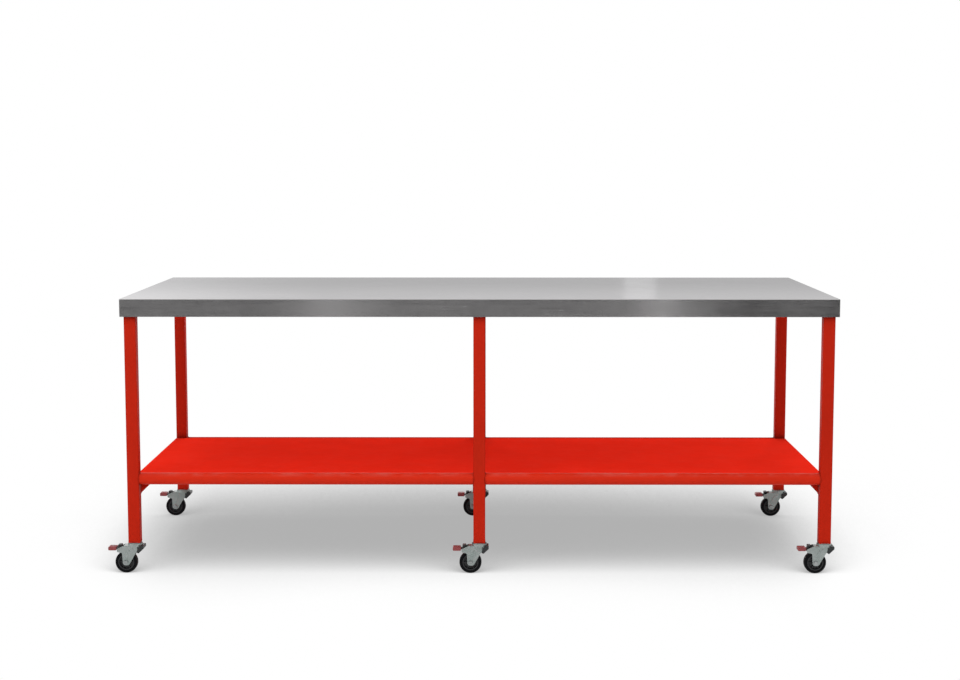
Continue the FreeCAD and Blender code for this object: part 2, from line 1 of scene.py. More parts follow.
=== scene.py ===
"""Dresses the mobile assembly table: finishes, welds, castor details and a plain pale studio.

Sizes are in metres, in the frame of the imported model: X along the table, -Y at its front, +Z up.
"""
import logging
import math
from collections.abc import Iterable, Sequence
from dataclasses import dataclass
from enum import Enum

import bmesh
import bpy
from mathutils import Matrix, Vector


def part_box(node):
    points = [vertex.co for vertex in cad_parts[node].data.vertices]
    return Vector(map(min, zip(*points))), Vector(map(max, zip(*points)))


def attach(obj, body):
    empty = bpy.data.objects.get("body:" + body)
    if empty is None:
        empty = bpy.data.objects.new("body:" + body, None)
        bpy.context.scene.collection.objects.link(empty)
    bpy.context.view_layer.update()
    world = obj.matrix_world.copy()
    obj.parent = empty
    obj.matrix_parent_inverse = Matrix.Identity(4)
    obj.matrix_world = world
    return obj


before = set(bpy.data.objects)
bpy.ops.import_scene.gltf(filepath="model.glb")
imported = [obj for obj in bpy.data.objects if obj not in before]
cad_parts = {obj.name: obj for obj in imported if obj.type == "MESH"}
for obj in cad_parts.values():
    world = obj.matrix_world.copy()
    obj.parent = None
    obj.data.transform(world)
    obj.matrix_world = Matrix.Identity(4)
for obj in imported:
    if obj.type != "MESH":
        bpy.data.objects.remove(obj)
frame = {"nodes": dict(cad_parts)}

LOG = logging.getLogger("assembly_table")
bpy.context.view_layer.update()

Colour = tuple[float, float, float]
Point = tuple[float, float, float]
Span = tuple[float, float]
Section = Sequence[tuple[float, float]]
Mesh = bmesh.types.BMesh
Tree = bpy.types.NodeTree
Node = bpy.types.Node
Output = bpy.types.NodeSocket
Feed = float | Sequence[float] | bpy.types.NodeSocket

CORNER_STEPS = 3
X_WAY = Vector((1.0, 0.0, 0.0))
Y_WAY = Vector((0.0, 1.0, 0.0))
Z_WAY = Vector((0.0, 0.0, 1.0))


class Leg(Enum):
    """The six legs, each with a castor under it."""

    FRONT_LEFT = "front_left"
    FRONT_MIDDLE = "front_middle"
    FRONT_RIGHT = "front_right"
    BACK_LEFT = "back_left"
    BACK_MIDDLE = "back_middle"
    BACK_RIGHT = "back_right"

    def centre(self) -> Vector:
        """Middle of the leg on the floor."""
        low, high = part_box(f"leg_{self.value}")
        return Vector(((low.x + high.x) / 2, (low.y + high.y) / 2, 0.0))


class Grain(Enum):
    """Direction that a metal's grinding lines run in, as scales of the pattern along X, Y and Z."""

    ALONG_X = (9.0, 620.0, 620.0)
    ALONG_Z = (620.0, 620.0, 9.0)


# Node trees


class Bench:
    """A shader node tree under construction, with short calls for nodes and links."""

    def __init__(self, tree: Tree) -> None:
        """Start on a tree, which is emptied."""
        self.tree = tree
        self.tree.nodes.clear()

    def node(self, kind: str, feeds: dict[str | int, Feed] | None = None, **settings: object) -> Node:
        """Add a node.

        Args:
            kind: Blender's name of the node type, without the ShaderNode in front.
            feeds: Value or output socket for each input, by name or number.
            settings: Properties of the node itself.

        Returns:
            The new node.
        """
        made = self.tree.nodes.new(f"ShaderNode{kind}")
        for name, setting in settings.items():
            setattr(made, name, setting)
        for name, feed in (feeds or {}).items():
            self.feed(made.inputs[name], feed)
        return made

    def feed(self, socket: bpy.types.NodeSocket, feed: Feed) -> None:
        """Link an output to an input, or set the input's own value.

        Args:
            socket: The input.
            feed: An output socket, a number, or the numbers of a colour or vector.
        """
        if isinstance(feed, bpy.types.NodeSocket):
            self.tree.links.new(feed, socket)
        elif isinstance(feed, (int, float)):
            socket.default_value = feed
        else:
            wanted = len(socket.default_value)
            socket.default_value = (*feed, 1.0)[:wanted]

    def math(self, operation: str, first: Feed, second: Feed = 0.0, clamp: bool = False) -> Output:
        """Result of a Math node, held between 0 and 1 where it is clamped."""
        return self.node("Math", {0: first, 1: second}, operation=operation, use_clamp=clamp).outputs[0]

    def plus(self, first: Feed, second: Feed) -> Output:
        """Sum of two values."""
        return self.math("ADD", first, second)

    def times(self, first: Feed, second: Feed) -> Output:
        """Product of two values."""
        return self.math("MULTIPLY", first, second)

    def vector(self, operation: str, first: Feed, second: Feed = (0.0, 0.0, 0.0)) -> Output:
        """Result of a VectorMath node, as a number for the operations that give one."""
        result = "Value" if operation in ("DOT_PRODUCT", "LENGTH") else "Vector"
        return self.node("VectorMath", {0: first, 1: second}, operation=operation).outputs[result]

    def parts(self, vector: Feed) -> bpy.types.bpy_prop_collection:
        """The outputs X, Y and Z of a vector."""
        return self.node("SeparateXYZ", {0: vector}).outputs

    def spread(self, value: Feed, span: Span, to_low: Feed = 0.0, to_high: Feed = 1.0) -> Output:
        """Value mapped smoothly from one span to another.

        Args:
            value: The value to map.
            span: Values that give to_low and to_high.
            to_low: Result at or below the span.
            to_high: Result at or above it.

        Returns:
            The output socket.
        """
        low, high = span
        feeds = {"Value": value, "From Min": low, "From Max": high, "To Min": to_low, "To Max": to_high}
        return self.node("MapRange", feeds, interpolation_type="SMOOTHSTEP").outputs["Result"]

    def eased(self, share: Feed, at_none: Feed, at_full: Feed) -> Output:
        """Value that goes smoothly from one to another as a share goes from 0 to 1."""
        return self.spread(share, (0.0, 1.0), at_none, at_full)

    def mix(self, factor: Feed, first: Feed, second: Feed) -> Output:
        """Colour between two colours, the second one where the factor is 1."""
        return self.node("Mix", {0: factor, 6: first, 7: second}, data_type="RGBA").outputs[2]

    def noise(self, vector: Feed, scale: Feed, detail: float = 2.0, roughness: float = 0.5) -> Output:
        """Noise between 0 and 1, with a number of finer octaves and their strength."""
        feeds = {"Vector": vector, "Scale": scale, "Detail": detail, "Roughness": roughness}
        return self.node("TexNoise", feeds).outputs["Fac"]

    def scaled(self, vector: Feed, scale: Sequence[float]) -> Output:
        """Coordinates multiplied by a scale on each axis."""
        return self.node("Mapping", {"Vector": vector, "Scale": tuple(scale)}).outputs["Vector"]


class Effect(Enum):
    """Shader node groups that the finishes share, by their names in Blender."""

    GRAIN = "Ground grain"
    EDGE = "Edge wear"
    DUST = "Settled dust"
    PEEL = "Orange peel"
    MOTTLE = "Mottle"
    RINGS = "Turned rings"
    SCUFFS = "Scuffs"
    # Painted shade in corners and under overhangs
    SHADE = "Corner grime"


@dataclass(frozen=True)
class EffectShelf:
    """Builds each shared node group once and hands it out."""

    major_share: float = 0.7
    bold_scale: float = 0.23
    streak_gain: float = 4.0
    outside_edge: Span = (0.015, 0.16)
    lost_coat: Span = (0.42, 0.66)
    upward_face: Span = (0.35, 0.95)
    dust_drift: Span = (0.35, 0.8)
    grit_scale: float = 3.3
    tone_range: Span = (0.3, 0.7)
    scratch_line: Span = (0.69, 0.75)
    scratch_ways: tuple[tuple[Point, Point], ...] = (
        ((0.3, 0.9, 0.5), (1.0, 0.07, 0.09)),
        ((0.9, -0.4, -0.7), (0.07, 1.0, 0.06)),
    )

    def group(self, effect: Effect) -> Tree:
        """The node group of an effect, built by the method of its name when it is first asked for.

        Args:
            effect: The effect.

        Returns:
            The group.
        """
        built = bpy.data.node_groups.get(effect.value)
        if built is None:
            built = getattr(self, effect.name.lower())()
            LOG.info("built node group %s", effect.value)
        return built

    def place(self, bench: Bench, effect: Effect, **feeds: Feed) -> Node:
        """Put a group into a material.

        Args:
            bench: The material's tree.
            effect: The effect.
            feeds: The values of the group's inputs in this material, as fine_scale for "Fine Scale".

        Returns:
            The group node.
        """
        made = bench.tree.nodes.new("ShaderNodeGroup")
        made.node_tree = self.group(effect)
        for name, feed in feeds.items():
            bench.feed(made.inputs[name.replace("_", " ").title()], feed)
        return made

    def start(
        self, effect: Effect, inputs: dict[str, float | None], outputs: Iterable[str]
    ) -> tuple[Bench, dict[str, Output], dict[str, Output]]:
        """Make an empty group with its sockets.

        Args:
            effect: The effect, which names the group.
            inputs: Value that each input has by itself, or None for coordinates.
            outputs: Names of the outputs, which are numbers.

        Returns:
            The bench, the inputs' sockets by name, and the outputs' sockets by name.
        """
        tree = bpy.data.node_groups.new(effect.value, "ShaderNodeTree")
        for name, value in inputs.items():
            kind = "NodeSocketVector" if value is None else "NodeSocketFloat"
            made = tree.interface.new_socket(name=name, in_out="INPUT", socket_type=kind)
            if value is not None:
                made.default_value = value
        for name in outputs:
            tree.interface.new_socket(name=name, in_out="OUTPUT", socket_type="NodeSocketFloat")
        bench = Bench(tree)
        ways_in = tree.nodes.new("NodeGroupInput").outputs
        ways_out = tree.nodes.new("NodeGroupOutput").inputs
        return bench, {s.name: s for s in ways_in if s.name}, {s.name: s for s in ways_out if s.name}

    def blend(self, bench: Bench, major: Output, minor: Output) -> Output:
        """Two patterns added, with the larger share for the first."""
        rest = bench.times(minor, 1.0 - self.major_share)
        return bench.plus(bench.times(major, self.major_share), rest)

    def masked(self, bench: Bench, mask: Output, amount: Output, wanted: dict[str, Output]) -> Tree:
        """Put a mask out, as strong as the material asks for, and hand over the group."""
        bench.feed(wanted["Mask"], bench.math("MULTIPLY", mask, amount, clamp=True))
        return bench.tree

    def grain(self) -> Tree:
        """Grinding lines: fine streaks with stronger ones among them, along squeezed coordinates.

        Returns:
            The group.
        """
        sockets = {"Vector": None, "Contrast": 0.6}
        bench, given, wanted = self.start(Effect.GRAIN, sockets, ("Streak", "Height"))
        fine = bench.noise(given["Vector"], 1.0, detail=3.0, roughness=0.62)
        bold = bench.noise(given["Vector"], self.bold_scale, detail=1.0)
        height = self.blend(bench, fine, bold)
        gain = bench.times(given["Contrast"], self.streak_gain)
        widened = bench.times(bench.math("SUBTRACT", height, 0.5), gain)
        bench.feed(wanted["Streak"], bench.math("ADD", widened, 0.5, clamp=True))
        bench.feed(wanted["Height"], height)
        return bench.tree

    def edge(self) -> Tree:
        """Mask of outside edges, broken up where the coat has held.

        Returns:
            The group.
        """
        sockets = {"Vector": None, "Radius": 0.0008, "Break Scale": 160.0, "Amount": 0.5}
        bench, given, wanted = self.start(Effect.EDGE, sockets, ("Mask",))
        rounded = bench.node("Bevel", {"Radius": given["Radius"]}, samples=4).outputs["Normal"]
        true_normal = bench.node("NewGeometry").outputs["True Normal"]
        turn = bench.math("SUBTRACT", 1.0, bench.vector("DOT_PRODUCT", rounded, true_normal))
        coat = bench.noise(given["Vector"], given["Break Scale"], detail=3.0)
        worn = bench.times(bench.spread(turn, self.outside_edge), bench.spread(coat, self.lost_coat))
        return self.masked(bench, worn, given["Amount"], wanted)

    def dust(self) -> Tree:
        """Mask of thin dust on faces that look up, in soft drifts.

        Returns:
            The group.
        """
        sockets = {"Vector": None, "Scale": 18.0, "Amount": 0.1}
        bench, given, wanted = self.start(Effect.DUST, sockets, ("Mask",))
        facing = bench.parts(bench.node("TexCoord").outputs["Normal"])
        upward = bench.spread(facing["Z"], self.upward_face)
        drifts = bench.noise(given["Vector"], given["Scale"], detail=5.0, roughness=0.6)
        settled = bench.times(upward, bench.spread(drifts, self.dust_drift))
        return self.masked(bench, settled, given["Amount"], wanted)

    def peel(self) -> Tree:
        """Height of a sprayed or moulded skin: soft waves with a little fine grit.

        Returns:
            The group.
        """
        sockets = {"Vector": None, "Scale": 500.0, "Grit": 0.2}
        bench, given, wanted = self.start(Effect.PEEL, sockets, ("Height",))
        waves = bench.noise(given["Vector"], given["Scale"], detail=1.0)
        grit = bench.noise(given["Vector"], bench.times(given["Scale"], self.grit_scale), detail=2.0)
        bench.feed(wanted["Height"], bench.plus(waves, bench.times(grit, given["Grit"])))
        return bench.tree

    def mottle(self) -> Tree:
        """Slow change of tone from place to place, between 0 and 1.

        Returns:
            The group.
        """
        sockets = {"Vector": None, "Scale": 8.0, "Fine Scale": 60.0}
        bench, given, wanted = self.start(Effect.MOTTLE, sockets, ("Tone",))
        slow = bench.noise(given["Vector"], given["Scale"], detail=3.0, roughness=0.55)
        fine = bench.noise(given["Vector"], given["Fine Scale"], detail=3.0)
        bench.feed(wanted["Tone"], bench.spread(self.blend(bench, slow, fine), self.tone_range))
        return bench.tree

    def rings(self) -> Tree:
        """Rings about the piece's own middle on its Y axis, and the distance from that axis.

        Returns:
            The group.
        """
        sockets = {"Vector": None, "Count": 24.0}
        bench, given, wanted = self.start(Effect.RINGS, sockets, ("Distance", "Height"))
        centred = bench.parts(bench.vector("SUBTRACT", given["Vector"], (0.5, 0.5, 0.5)))
        flat = bench.node("CombineXYZ", {0: centred["X"], 2: centred["Z"]}).outputs[0]
        away = bench.vector("LENGTH", flat)
        wave = bench.math("SINE", bench.times(bench.times(away, given["Count"]), math.tau))
        bench.feed(wanted["Distance"], away)
        bench.feed(wanted["Height"], bench.plus(bench.times(wave, 0.5), 0.5))
        return bench.tree

    def scuffs(self) -> Tree:
        """Mask of sparse fine scratches in two directions.

        Returns:
            The group.
        """
        sockets = {"Vector": None, "Scale": 40.0, "Amount": 0.5}
        bench, given, wanted = self.start(Effect.SCUFFS, sockets, ("Mask",))
        masks = []
        for turn, stretch in self.scratch_ways:
            feeds = {"Vector": given["Vector"], "Rotation": turn, "Scale": stretch}
            along = bench.node("Mapping", feeds, vector_type="TEXTURE").outputs[0]
            masks.append(bench.spread(bench.noise(along, given["Scale"], detail=1.0), self.scratch_line))
        return self.masked(bench, bench.math("MAXIMUM", *masks), given["Amount"], wanted)

    def shade(self) -> Tree:
        """Mask of inner corners and narrow places, for painted shade that darkens them.

        Returns:
            The group.
        """
        bench, given, wanted = self.start(Effect.SHADE, {"Reach": 0.03, "Amount": 1.0}, ("Mask",))
        # Ambient occlusion, painted into the colour as shade
        openness = bench.node("AmbientOcclusion", {"Distance": given["Reach"]}, samples=8).outputs["AO"]
        return self.masked(bench, bench.math("SUBTRACT", 1.0, openness), given["Amount"], wanted)


EFFECTS = EffectShelf()


# Finishes


class Skin(Bench):
    """A material under construction, with its shader and the coordinates of the piece that wears it."""

    def __init__(self, material: bpy.types.Material) -> None:
        """Start on a material.

        Args:
            material: The material, whose nodes are replaced.
        """
        material.use_nodes = True
        super().__init__(material.node_tree)
        self.shader = self.node("BsdfPrincipled")
        self.node("OutputMaterial", {"Surface": self.shader.outputs["BSDF"]})
        place = self.node("TexCoord").outputs
        self.here = place["Object"]
        self.own = place["Generated"]
        self.facing = place["Normal"]

    def give(self, name: str, feed: Feed) -> None:
        """Set an input of the shader."""
        self.feed(self.shader.inputs[name], feed)

    def tap(self, effect: Effect, **feeds: Feed) -> Output:
        """First output of a shared effect, laid by where the surface is on the table."""
        return EFFECTS.place(self, effect, vector=self.here, **feeds).outputs[0]


@dataclass(frozen=True)
class Relief:
    """Bump of a finish: its strength, and its real height in metres."""

    strength: float
    height: float

    def press(self, skin: Skin, pattern: Feed) -> None:
        """Give a skin the bump, from a pattern between 0 and 1."""
        feeds = {"Height": pattern, "Strength": self.strength, "Distance": self.height}
        skin.give("Normal", skin.node("Bump", feeds).outputs["Normal"])


@dataclass(frozen=True)
class Finish:
    """A finish of the table's surfaces. Each kind of finish dresses its own skin."""

    name: str
    colour: Colour
    roughness: float = 0.5
    uneven: Span = (0.0, 0.0)
    relief: Relief = Relief(0.2, 0.0001)

    def dress(self, skin: Skin) -> None:
        """Lay the finish's pattern over a skin."""
        raise NotImplementedError

    def material(self) -> bpy.types.Material:
        """The finish's material, built when it is first asked for.

        Returns:
            The material.
        """
        label = f"finish_{self.name}"
        built = bpy.data.materials.get(label)
        if built is None:
            built = bpy.data.materials.new(label)
            self.dress(Skin(built))
            built.diffuse_color = (*self.colour, 1.0)
            LOG.info("built finish %s", self.name)
        return built

    def tinted(self, share: float) -> Colour:
        """The finish's colour with each channel multiplied by a share."""
        red, green, blue = (min(1.0, channel * share) for channel in self.colour)
        return red, green, blue

    def toned(self, skin: Skin, tone: Output, tints: Span) -> Output:
        """The finish's colour, at one tint where a tone is 0 and at another where it is 1."""
        return skin.mix(tone, self.tinted(tints[0]), self.tinted(tints[1]))

    def roughened(self, skin: Skin, tone: Output) -> Output:
        """Roughness that follows a tone, from below the finish's own to above it."""
        below, above = self.uneven
        return skin.eased(tone, self.roughness + below, self.roughness + above)


@dataclass(frozen=True)
class GroundSheet(Finish):
    """Stainless sheet ground along the table's length, with hand marks and a painted highlight that
    lightens its top toward the front.
    """

    roughness: float = 0.205
    uneven: Span = (-0.035, 0.045)
    relief: Relief = Relief(0.12, 0.00006)
    stretch: float = 0.9
    grazing: Colour = (0.590, 0.593, 0.600)
    contrast: float = 0.3
    streak_tints: Span = (0.95, 1.04)
    haze: float = 0.35
    haze_tint: float = 0.93
    haze_roughness: float = 0.05
    scratch_tint: float = 1.15
    end_face: Span = (0.6, 0.8)
    top_face: Span = (0.8, 0.95)
    # Where along Y the painted highlight on the top fades out, and how much it lightens the colour
    highlight_fade: Span = (-0.55, 0.3)
    painted_highlight: float = 1.32

    def ground(self, skin: Skin, way: Grain) -> bpy.types.bpy_prop_collection:
        """The outputs Streak and Height of grinding lines in one direction."""
        squeezed = skin.scaled(skin.here, way.value)
        return EFFECTS.place(skin, Effect.GRAIN, vector=squeezed, contrast=self.contrast).outputs

    def dress(self, skin: Skin) -> None:
        """Lay grinding lines, hand marks, scratches, and a painted highlight that lightens the top toward
        its front edge.

        Args:
            skin: The material under construction.
        """
        lengthways = self.ground(skin, Grain.ALONG_X)
        downward = self.ground(skin, Grain.ALONG_Z)
        facing = skin.parts(skin.facing)
        on_end = skin.spread(skin.math("ABSOLUTE", facing["X"]), self.end_face)
        on_top = skin.spread(facing["Z"], self.top_face)
        # Painted highlight: the top is lightened toward its front edge, fading out toward the back
        front_highlight = skin.spread(skin.parts(skin.here)["Y"], self.highlight_fade, 1.0, 0.0)
        streak = skin.mix(on_end, lengthways["Streak"], downward["Streak"])
        height = skin.mix(on_end, lengthways["Height"], downward["Height"])
        smudge = skin.tap(Effect.MOTTLE, scale=4.5, fine_scale=38.0)
        scratch = skin.tap(Effect.SCUFFS, scale=26.0, amount=0.2)
        streaked = self.toned(skin, streak, self.streak_tints)
        hazed = skin.mix(skin.times(smudge, self.haze), streaked, self.tinted(self.haze_tint))
        lightened = skin.mix(skin.times(on_top, front_highlight), hazed, self.tinted(self.painted_highlight))
        dulled = skin.plus(self.roughened(skin, streak), skin.times(smudge, self.haze_roughness))
        skin.give("Base Color", skin.mix(scratch, lightened, self.tinted(self.scratch_tint)))
        skin.give("Roughness", dulled)
        skin.give("Metallic", 1.0)
        skin.give("Specular Tint", self.grazing)
        skin.give("Anisotropic", self.stretch)
        skin.give("Tangent", skin.node("Tangent", direction_type="RADIAL", axis="X").outputs[0])
        self.relief.press(skin, height)


@dataclass(frozen=True)
class PowderCoat(Finish):
    """Baked coat on steel with a soft orange peel, thin at its edges, lightly dusty on top, and darkened
    by painted shade in its corners.
    """

    roughness: float = 0.42
    uneven: Span = (-0.03, 0.05)
    relief: Relief = Relief(0.25, 0.00012)
    tints: Span = (0.96, 1.04)
    gloss_level: float = 0.3
    dusty: float = 0.04
    dust_colour: Colour = (0.52, 0.47, 0.42)
    dust_roughness: float = 0.3
    wear: float = 0.3
    bare: Colour = (0.30, 0.06, 0.04)
    metallic_bare: bool = False
    # Strength, reach and darkness of the painted shade in the coat's corners
    shade_amount: float = 1.5
    shade_reach: float = 0.03
    shade_tint: float = 0.25

    def dress(self, skin: Skin) -> None:
        """Lay the coat, its worn edges, its dust, and painted shade in its corners and under overhangs.

        Args:
            skin: The material under construction.
        """
        tone = skin.tap(Effect.MOTTLE, scale=5.0, fine_scale=45.0)
        peel = skin.tap(Effect.PEEL, scale=420.0, grit=0.25)
        edge = skin.tap(Effect.EDGE, amount=self.wear)
        dust = skin.tap(Effect.DUST, amount=self.dusty)
        # Painted shade: ambient occlusion darkens the coat's colour in corners and under overhangs, such
        # as the legs' tops under the worktop's skirt
        shade = EFFECTS.place(skin, Effect.SHADE, reach=self.shade_reach, amount=self.shade_amount)
        thin = skin.mix(edge, self.toned(skin, tone, self.tints), self.bare)
        dusted = skin.mix(dust, thin, self.dust_colour)
        dulled = skin.plus(self.roughened(skin, tone), skin.times(dust, self.dust_roughness))
        skin.give("Base Color", skin.mix(shade.outputs[0], dusted, self.tinted(self.shade_tint)))
        skin.give("Roughness", dulled)
        if self.metallic_bare:
            skin.give("Metallic", edge)
        skin.give("Specular IOR Level", self.gloss_level)
        self.relief.press(skin, peel)


@dataclass(frozen=True)
class ZincPlate(Finish):
    """Bright zinc on pressed or forged steel: crystal flakes, a cool passive film and rub marks."""

    roughness: float = 0.36
    uneven: Span = (-0.05, 0.08)
    relief: Relief = Relief(0.2, 0.00005)
    metallic: float = 0.8
    film: Colour = (0.50, 0.58, 0.57)
    film_share: float = 0.6
    lightened: Colour = (0.78, 0.79, 0.80)
    flake_scale: float = 320.0
    flake_range: Span = (0.2, 0.8)
    flake_tints: Span = (0.92, 1.06)
    flake_roughness: float = 0.05

    def dress(self, skin: Skin) -> None:
        """Lay the flakes, the film over them and the rub marks.

        Args:
            skin: The material under construction.
        """
        cells = skin.node("TexVoronoi", {"Vector": skin.here, "Scale": self.flake_scale}, feature="F1")
        flake = skin.parts(cells.outputs["Color"])["X"]
        tone = skin.tap(Effect.MOTTLE, scale=30.0, fine_scale=190.0)
        edge = skin.tap(Effect.EDGE, radius=0.0005, amount=0.45)
        rub = skin.tap(Effect.SCUFFS, scale=80.0, amount=0.3)
        peel = skin.tap(Effect.PEEL, scale=700.0, grit=0.4)
        plated = self.toned(skin, skin.eased(flake, *self.flake_range), self.flake_tints)
        filmed = skin.mix(skin.times(tone, self.film_share), plated, self.film)
        dulled = skin.plus(self.roughened(skin, tone), skin.times(flake, self.flake_roughness))
        skin.give("Base Color", skin.mix(skin.math("MAXIMUM", edge, rub), filmed, self.lightened))
        skin.give("Roughness", dulled)
        skin.give("Metallic", self.metallic)
        self.relief.press(skin, peel)


@dataclass(frozen=True)
class TurnedSteel(Finish):
    """Machined or polished steel with fine rings about the piece's axis."""

    roughness: float = 0.28
    uneven: Span = (0.0, 0.12)
    relief: Relief = Relief(0.15, 0.00002)
    ring_count: float = 60.0
    ring_tints: Span = (0.9, 1.05)
    stain: float = 0.4
    stain_tint: float = 0.8

    def dress(self, skin: Skin) -> None:
        """Lay the rings and a light stain.

        Args:
            skin: The material under construction.
        """
        rings = EFFECTS.place(skin, Effect.RINGS, vector=skin.own, count=self.ring_count).outputs
        tone = skin.tap(Effect.MOTTLE, scale=40.0, fine_scale=260.0)
        ringed = self.toned(skin, rings["Height"], self.ring_tints)
        stained = skin.mix(skin.times(tone, self.stain), ringed, self.tinted(self.stain_tint))
        skin.give("Base Color", stained)
        skin.give("Roughness", self.roughened(skin, tone))
        skin.give("Metallic", 1.0)
        self.relief.press(skin, rings["Height"])


@dataclass(frozen=True)
class TyreRubber(Finish):
    """Black solid rubber: grey from the floor on its tread, with moulding rings on its sides."""

    roughness: float = 0.5
    uneven: Span = (0.0, 0.22)
    relief: Relief = Relief(0.35, 0.00012)
    ring_count: float = 34.0
    ring_share: float = 0.5
    bloom_tints: Span = (0.8, 1.35)
    floor_grey: Colour = (0.024, 0.024, 0.023)
    grey_range: Span = (0.35, 0.9)
    tread: Span = (0.485, 0.5)
    gloss_level: float = 0.1

    def dress(self, skin: Skin) -> None:
        """Lay the bloom, the rings and the floor's grey.

        Args:
            skin: The material under construction.
        """
        rings = EFFECTS.place(skin, Effect.RINGS, vector=skin.own, count=self.ring_count).outputs
        tone = skin.tap(Effect.MOTTLE, scale=60.0, fine_scale=300.0)
        peel = skin.tap(Effect.PEEL, scale=900.0, grit=0.6)
        on_tread = skin.spread(rings["Distance"], self.tread)
        grey = skin.times(on_tread, skin.eased(tone, *self.grey_range))
        skin.give("Base Color", skin.mix(grey, self.toned(skin, tone, self.bloom_tints), self.floor_grey))
        skin.give("Roughness", self.roughened(skin, tone))
        skin.give("Specular IOR Level", self.gloss_level)
        ridges = skin.times(rings["Height"], self.ring_share)
        self.relief.press(skin, skin.plus(skin.times(peel, 1.0 - self.ring_share), ridges))


@dataclass(frozen=True)
class MouldedPlastic(Finish):
    """Injection-moulded plastic with an eroded skin, flow marks and rubbed edges."""

    roughness: float = 0.42
    uneven: Span = (-0.05, 0.1)
    relief: Relief = Relief(0.3, 0.00006)
    flow_tints: Span = (0.88, 1.12)
    lightened: Colour = (0.2, 0.2, 0.2)
    wear: float = 0.3

    def dress(self, skin: Skin) -> None:
        """Lay the flow marks and the rubbed edges.

        Args:
            skin: The material under construction.
        """
        tone = skin.tap(Effect.MOTTLE, scale=35.0, fine_scale=240.0)
        edge = skin.tap(Effect.EDGE, radius=0.0006, amount=self.wear)
        rub = skin.tap(Effect.SCUFFS, scale=120.0, amount=0.25)
        peel = skin.tap(Effect.PEEL, scale=1400.0, grit=0.5)
        moulded = self.toned(skin, tone, self.flow_tints)
        skin.give("Base Color", skin.mix(skin.math("MAXIMUM", edge, rub), moulded, self.lightened))
        skin.give("Roughness", self.roughened(skin, tone))
        self.relief.press(skin, peel)


@dataclass(frozen=True)
class ChipBoard(Finish):
    """Raw particle board: pressed chips of pale and brown wood."""

    roughness: float = 0.72
    uneven: Span = (0.0, 0.2)
    relief: Relief = Relief(0.4, 0.0003)
    chip_scale: Point = (170.0, 330.0, 330.0)
    bend_scale: float = 90.0
    bend: float = 0.012
    pale_chips: Span = (0.1, 0.7)
    chip_tints: Span = (0.75, 1.15)
    dark_chips: Span = (0.84, 0.9)
    dark_chip: Colour = (0.22, 0.13, 0.07)

    def dress(self, skin: Skin) -> None:
        """Lay the chips, bent out of line, with a few brown ones.

        Args:
            skin: The material under construction.
        """
        feeds = {"Vector": skin.here, "Scale": self.bend_scale, "Detail": 2.0}
        wander = skin.node("TexNoise", feeds).outputs["Color"]
        bent = skin.vector("MULTIPLY", wander, (self.bend, self.bend, self.bend))
        squeezed = skin.scaled(skin.vector("ADD", skin.here, bent), self.chip_scale)
        chips = skin.node("TexVoronoi", {"Vector": squeezed, "Scale": 1.0}).outputs
        pick = skin.parts(chips["Color"])["X"]
        wood = self.toned(skin, skin.spread(pick, self.pale_chips), self.chip_tints)
        skin.give("Base Color", skin.mix(skin.spread(pick, self.dark_chips), wood, self.dark_chip))
        skin.give("Roughness", self.roughened(skin, pick))
        self.relief.press(skin, chips["Distance"])


STAINLESS = GroundSheet("stainless_ground", (0.540, 0.529, 0.531))
FRAME_RED = PowderCoat("frame_red_coat", (0.405, 0.015, 0.005), roughness=0.46, gloss_level=0.02)
# Painted light: the frame's red paint made lighter for the round front rail; its raised dust is partly
# real dust and partly a painted highlight on the rail's top
RAIL_RED_LIGHTENED = PowderCoat(
    "rail_red_lightened_coat", (0.51, 0.018, 0.004), roughness=0.46, gloss_level=0.08, dusty=0.1, shade_amount=0.4
)
UNDER_RED = PowderCoat(
    "under_red_coat", (0.415, 0.015, 0.005), roughness=0.5, gloss_level=0.0, dusty=0.02
)
# Painted light: the frame's red paint made much lighter, standing in for the light that the worktop keeps
# off the shelf
SHELF_RED_LIGHTENED = PowderCoat(
    "shelf_red_lightened_coat", (0.72, 0.021, 0.009), roughness=0.52, gloss_level=0.0, dusty=0.01, shade_amount=0.6
)
BRAKE_BLACK = PowderCoat(
    "brake_black_coat",
    (0.014, 0.016, 0.017),
    roughness=0.38,
    gloss_level=0.4,
    wear=0.7,
    bare=(0.5, 0.5, 0.5),
    metallic_bare=True,
)
BOARD = ChipBoard("particle_board", (0.46, 0.32, 0.18))
ZINC = ZincPlate("fork_zinc", (0.34, 0.37, 0.36), film=(0.27, 0.33, 0.31))
BOLT_ZINC = ZincPlate(
    "bolt_zinc", (0.33, 0.35, 0.35), film=(0.27, 0.30, 0.29), roughness=0.3, flake_scale=600.0
)
SCREW_STEEL = ZincPlate("screw_zinc", (0.62, 0.63, 0.64), roughness=0.3, flake_scale=700.0)
BALL_STEEL = TurnedSteel("ball_steel", (0.66, 0.66, 0.67), roughness=0.12, ring_count=30.0)
BUSH_STEEL = TurnedSteel("bush_steel", (0.55, 0.55, 0.56))
RUBBER = TyreRubber("tyre_rubber", (0.003, 0.003, 0.004))
WHEEL_BLACK = MouldedPlastic("wheel_black", (0.006, 0.006, 0.008), lightened=(0.04, 0.04, 0.04))
PEDAL_RED = MouldedPlastic("pedal_plastic", (0.22, 0.034, 0.036), lightened=(0.36, 0.17, 0.17))


# Mesh tools


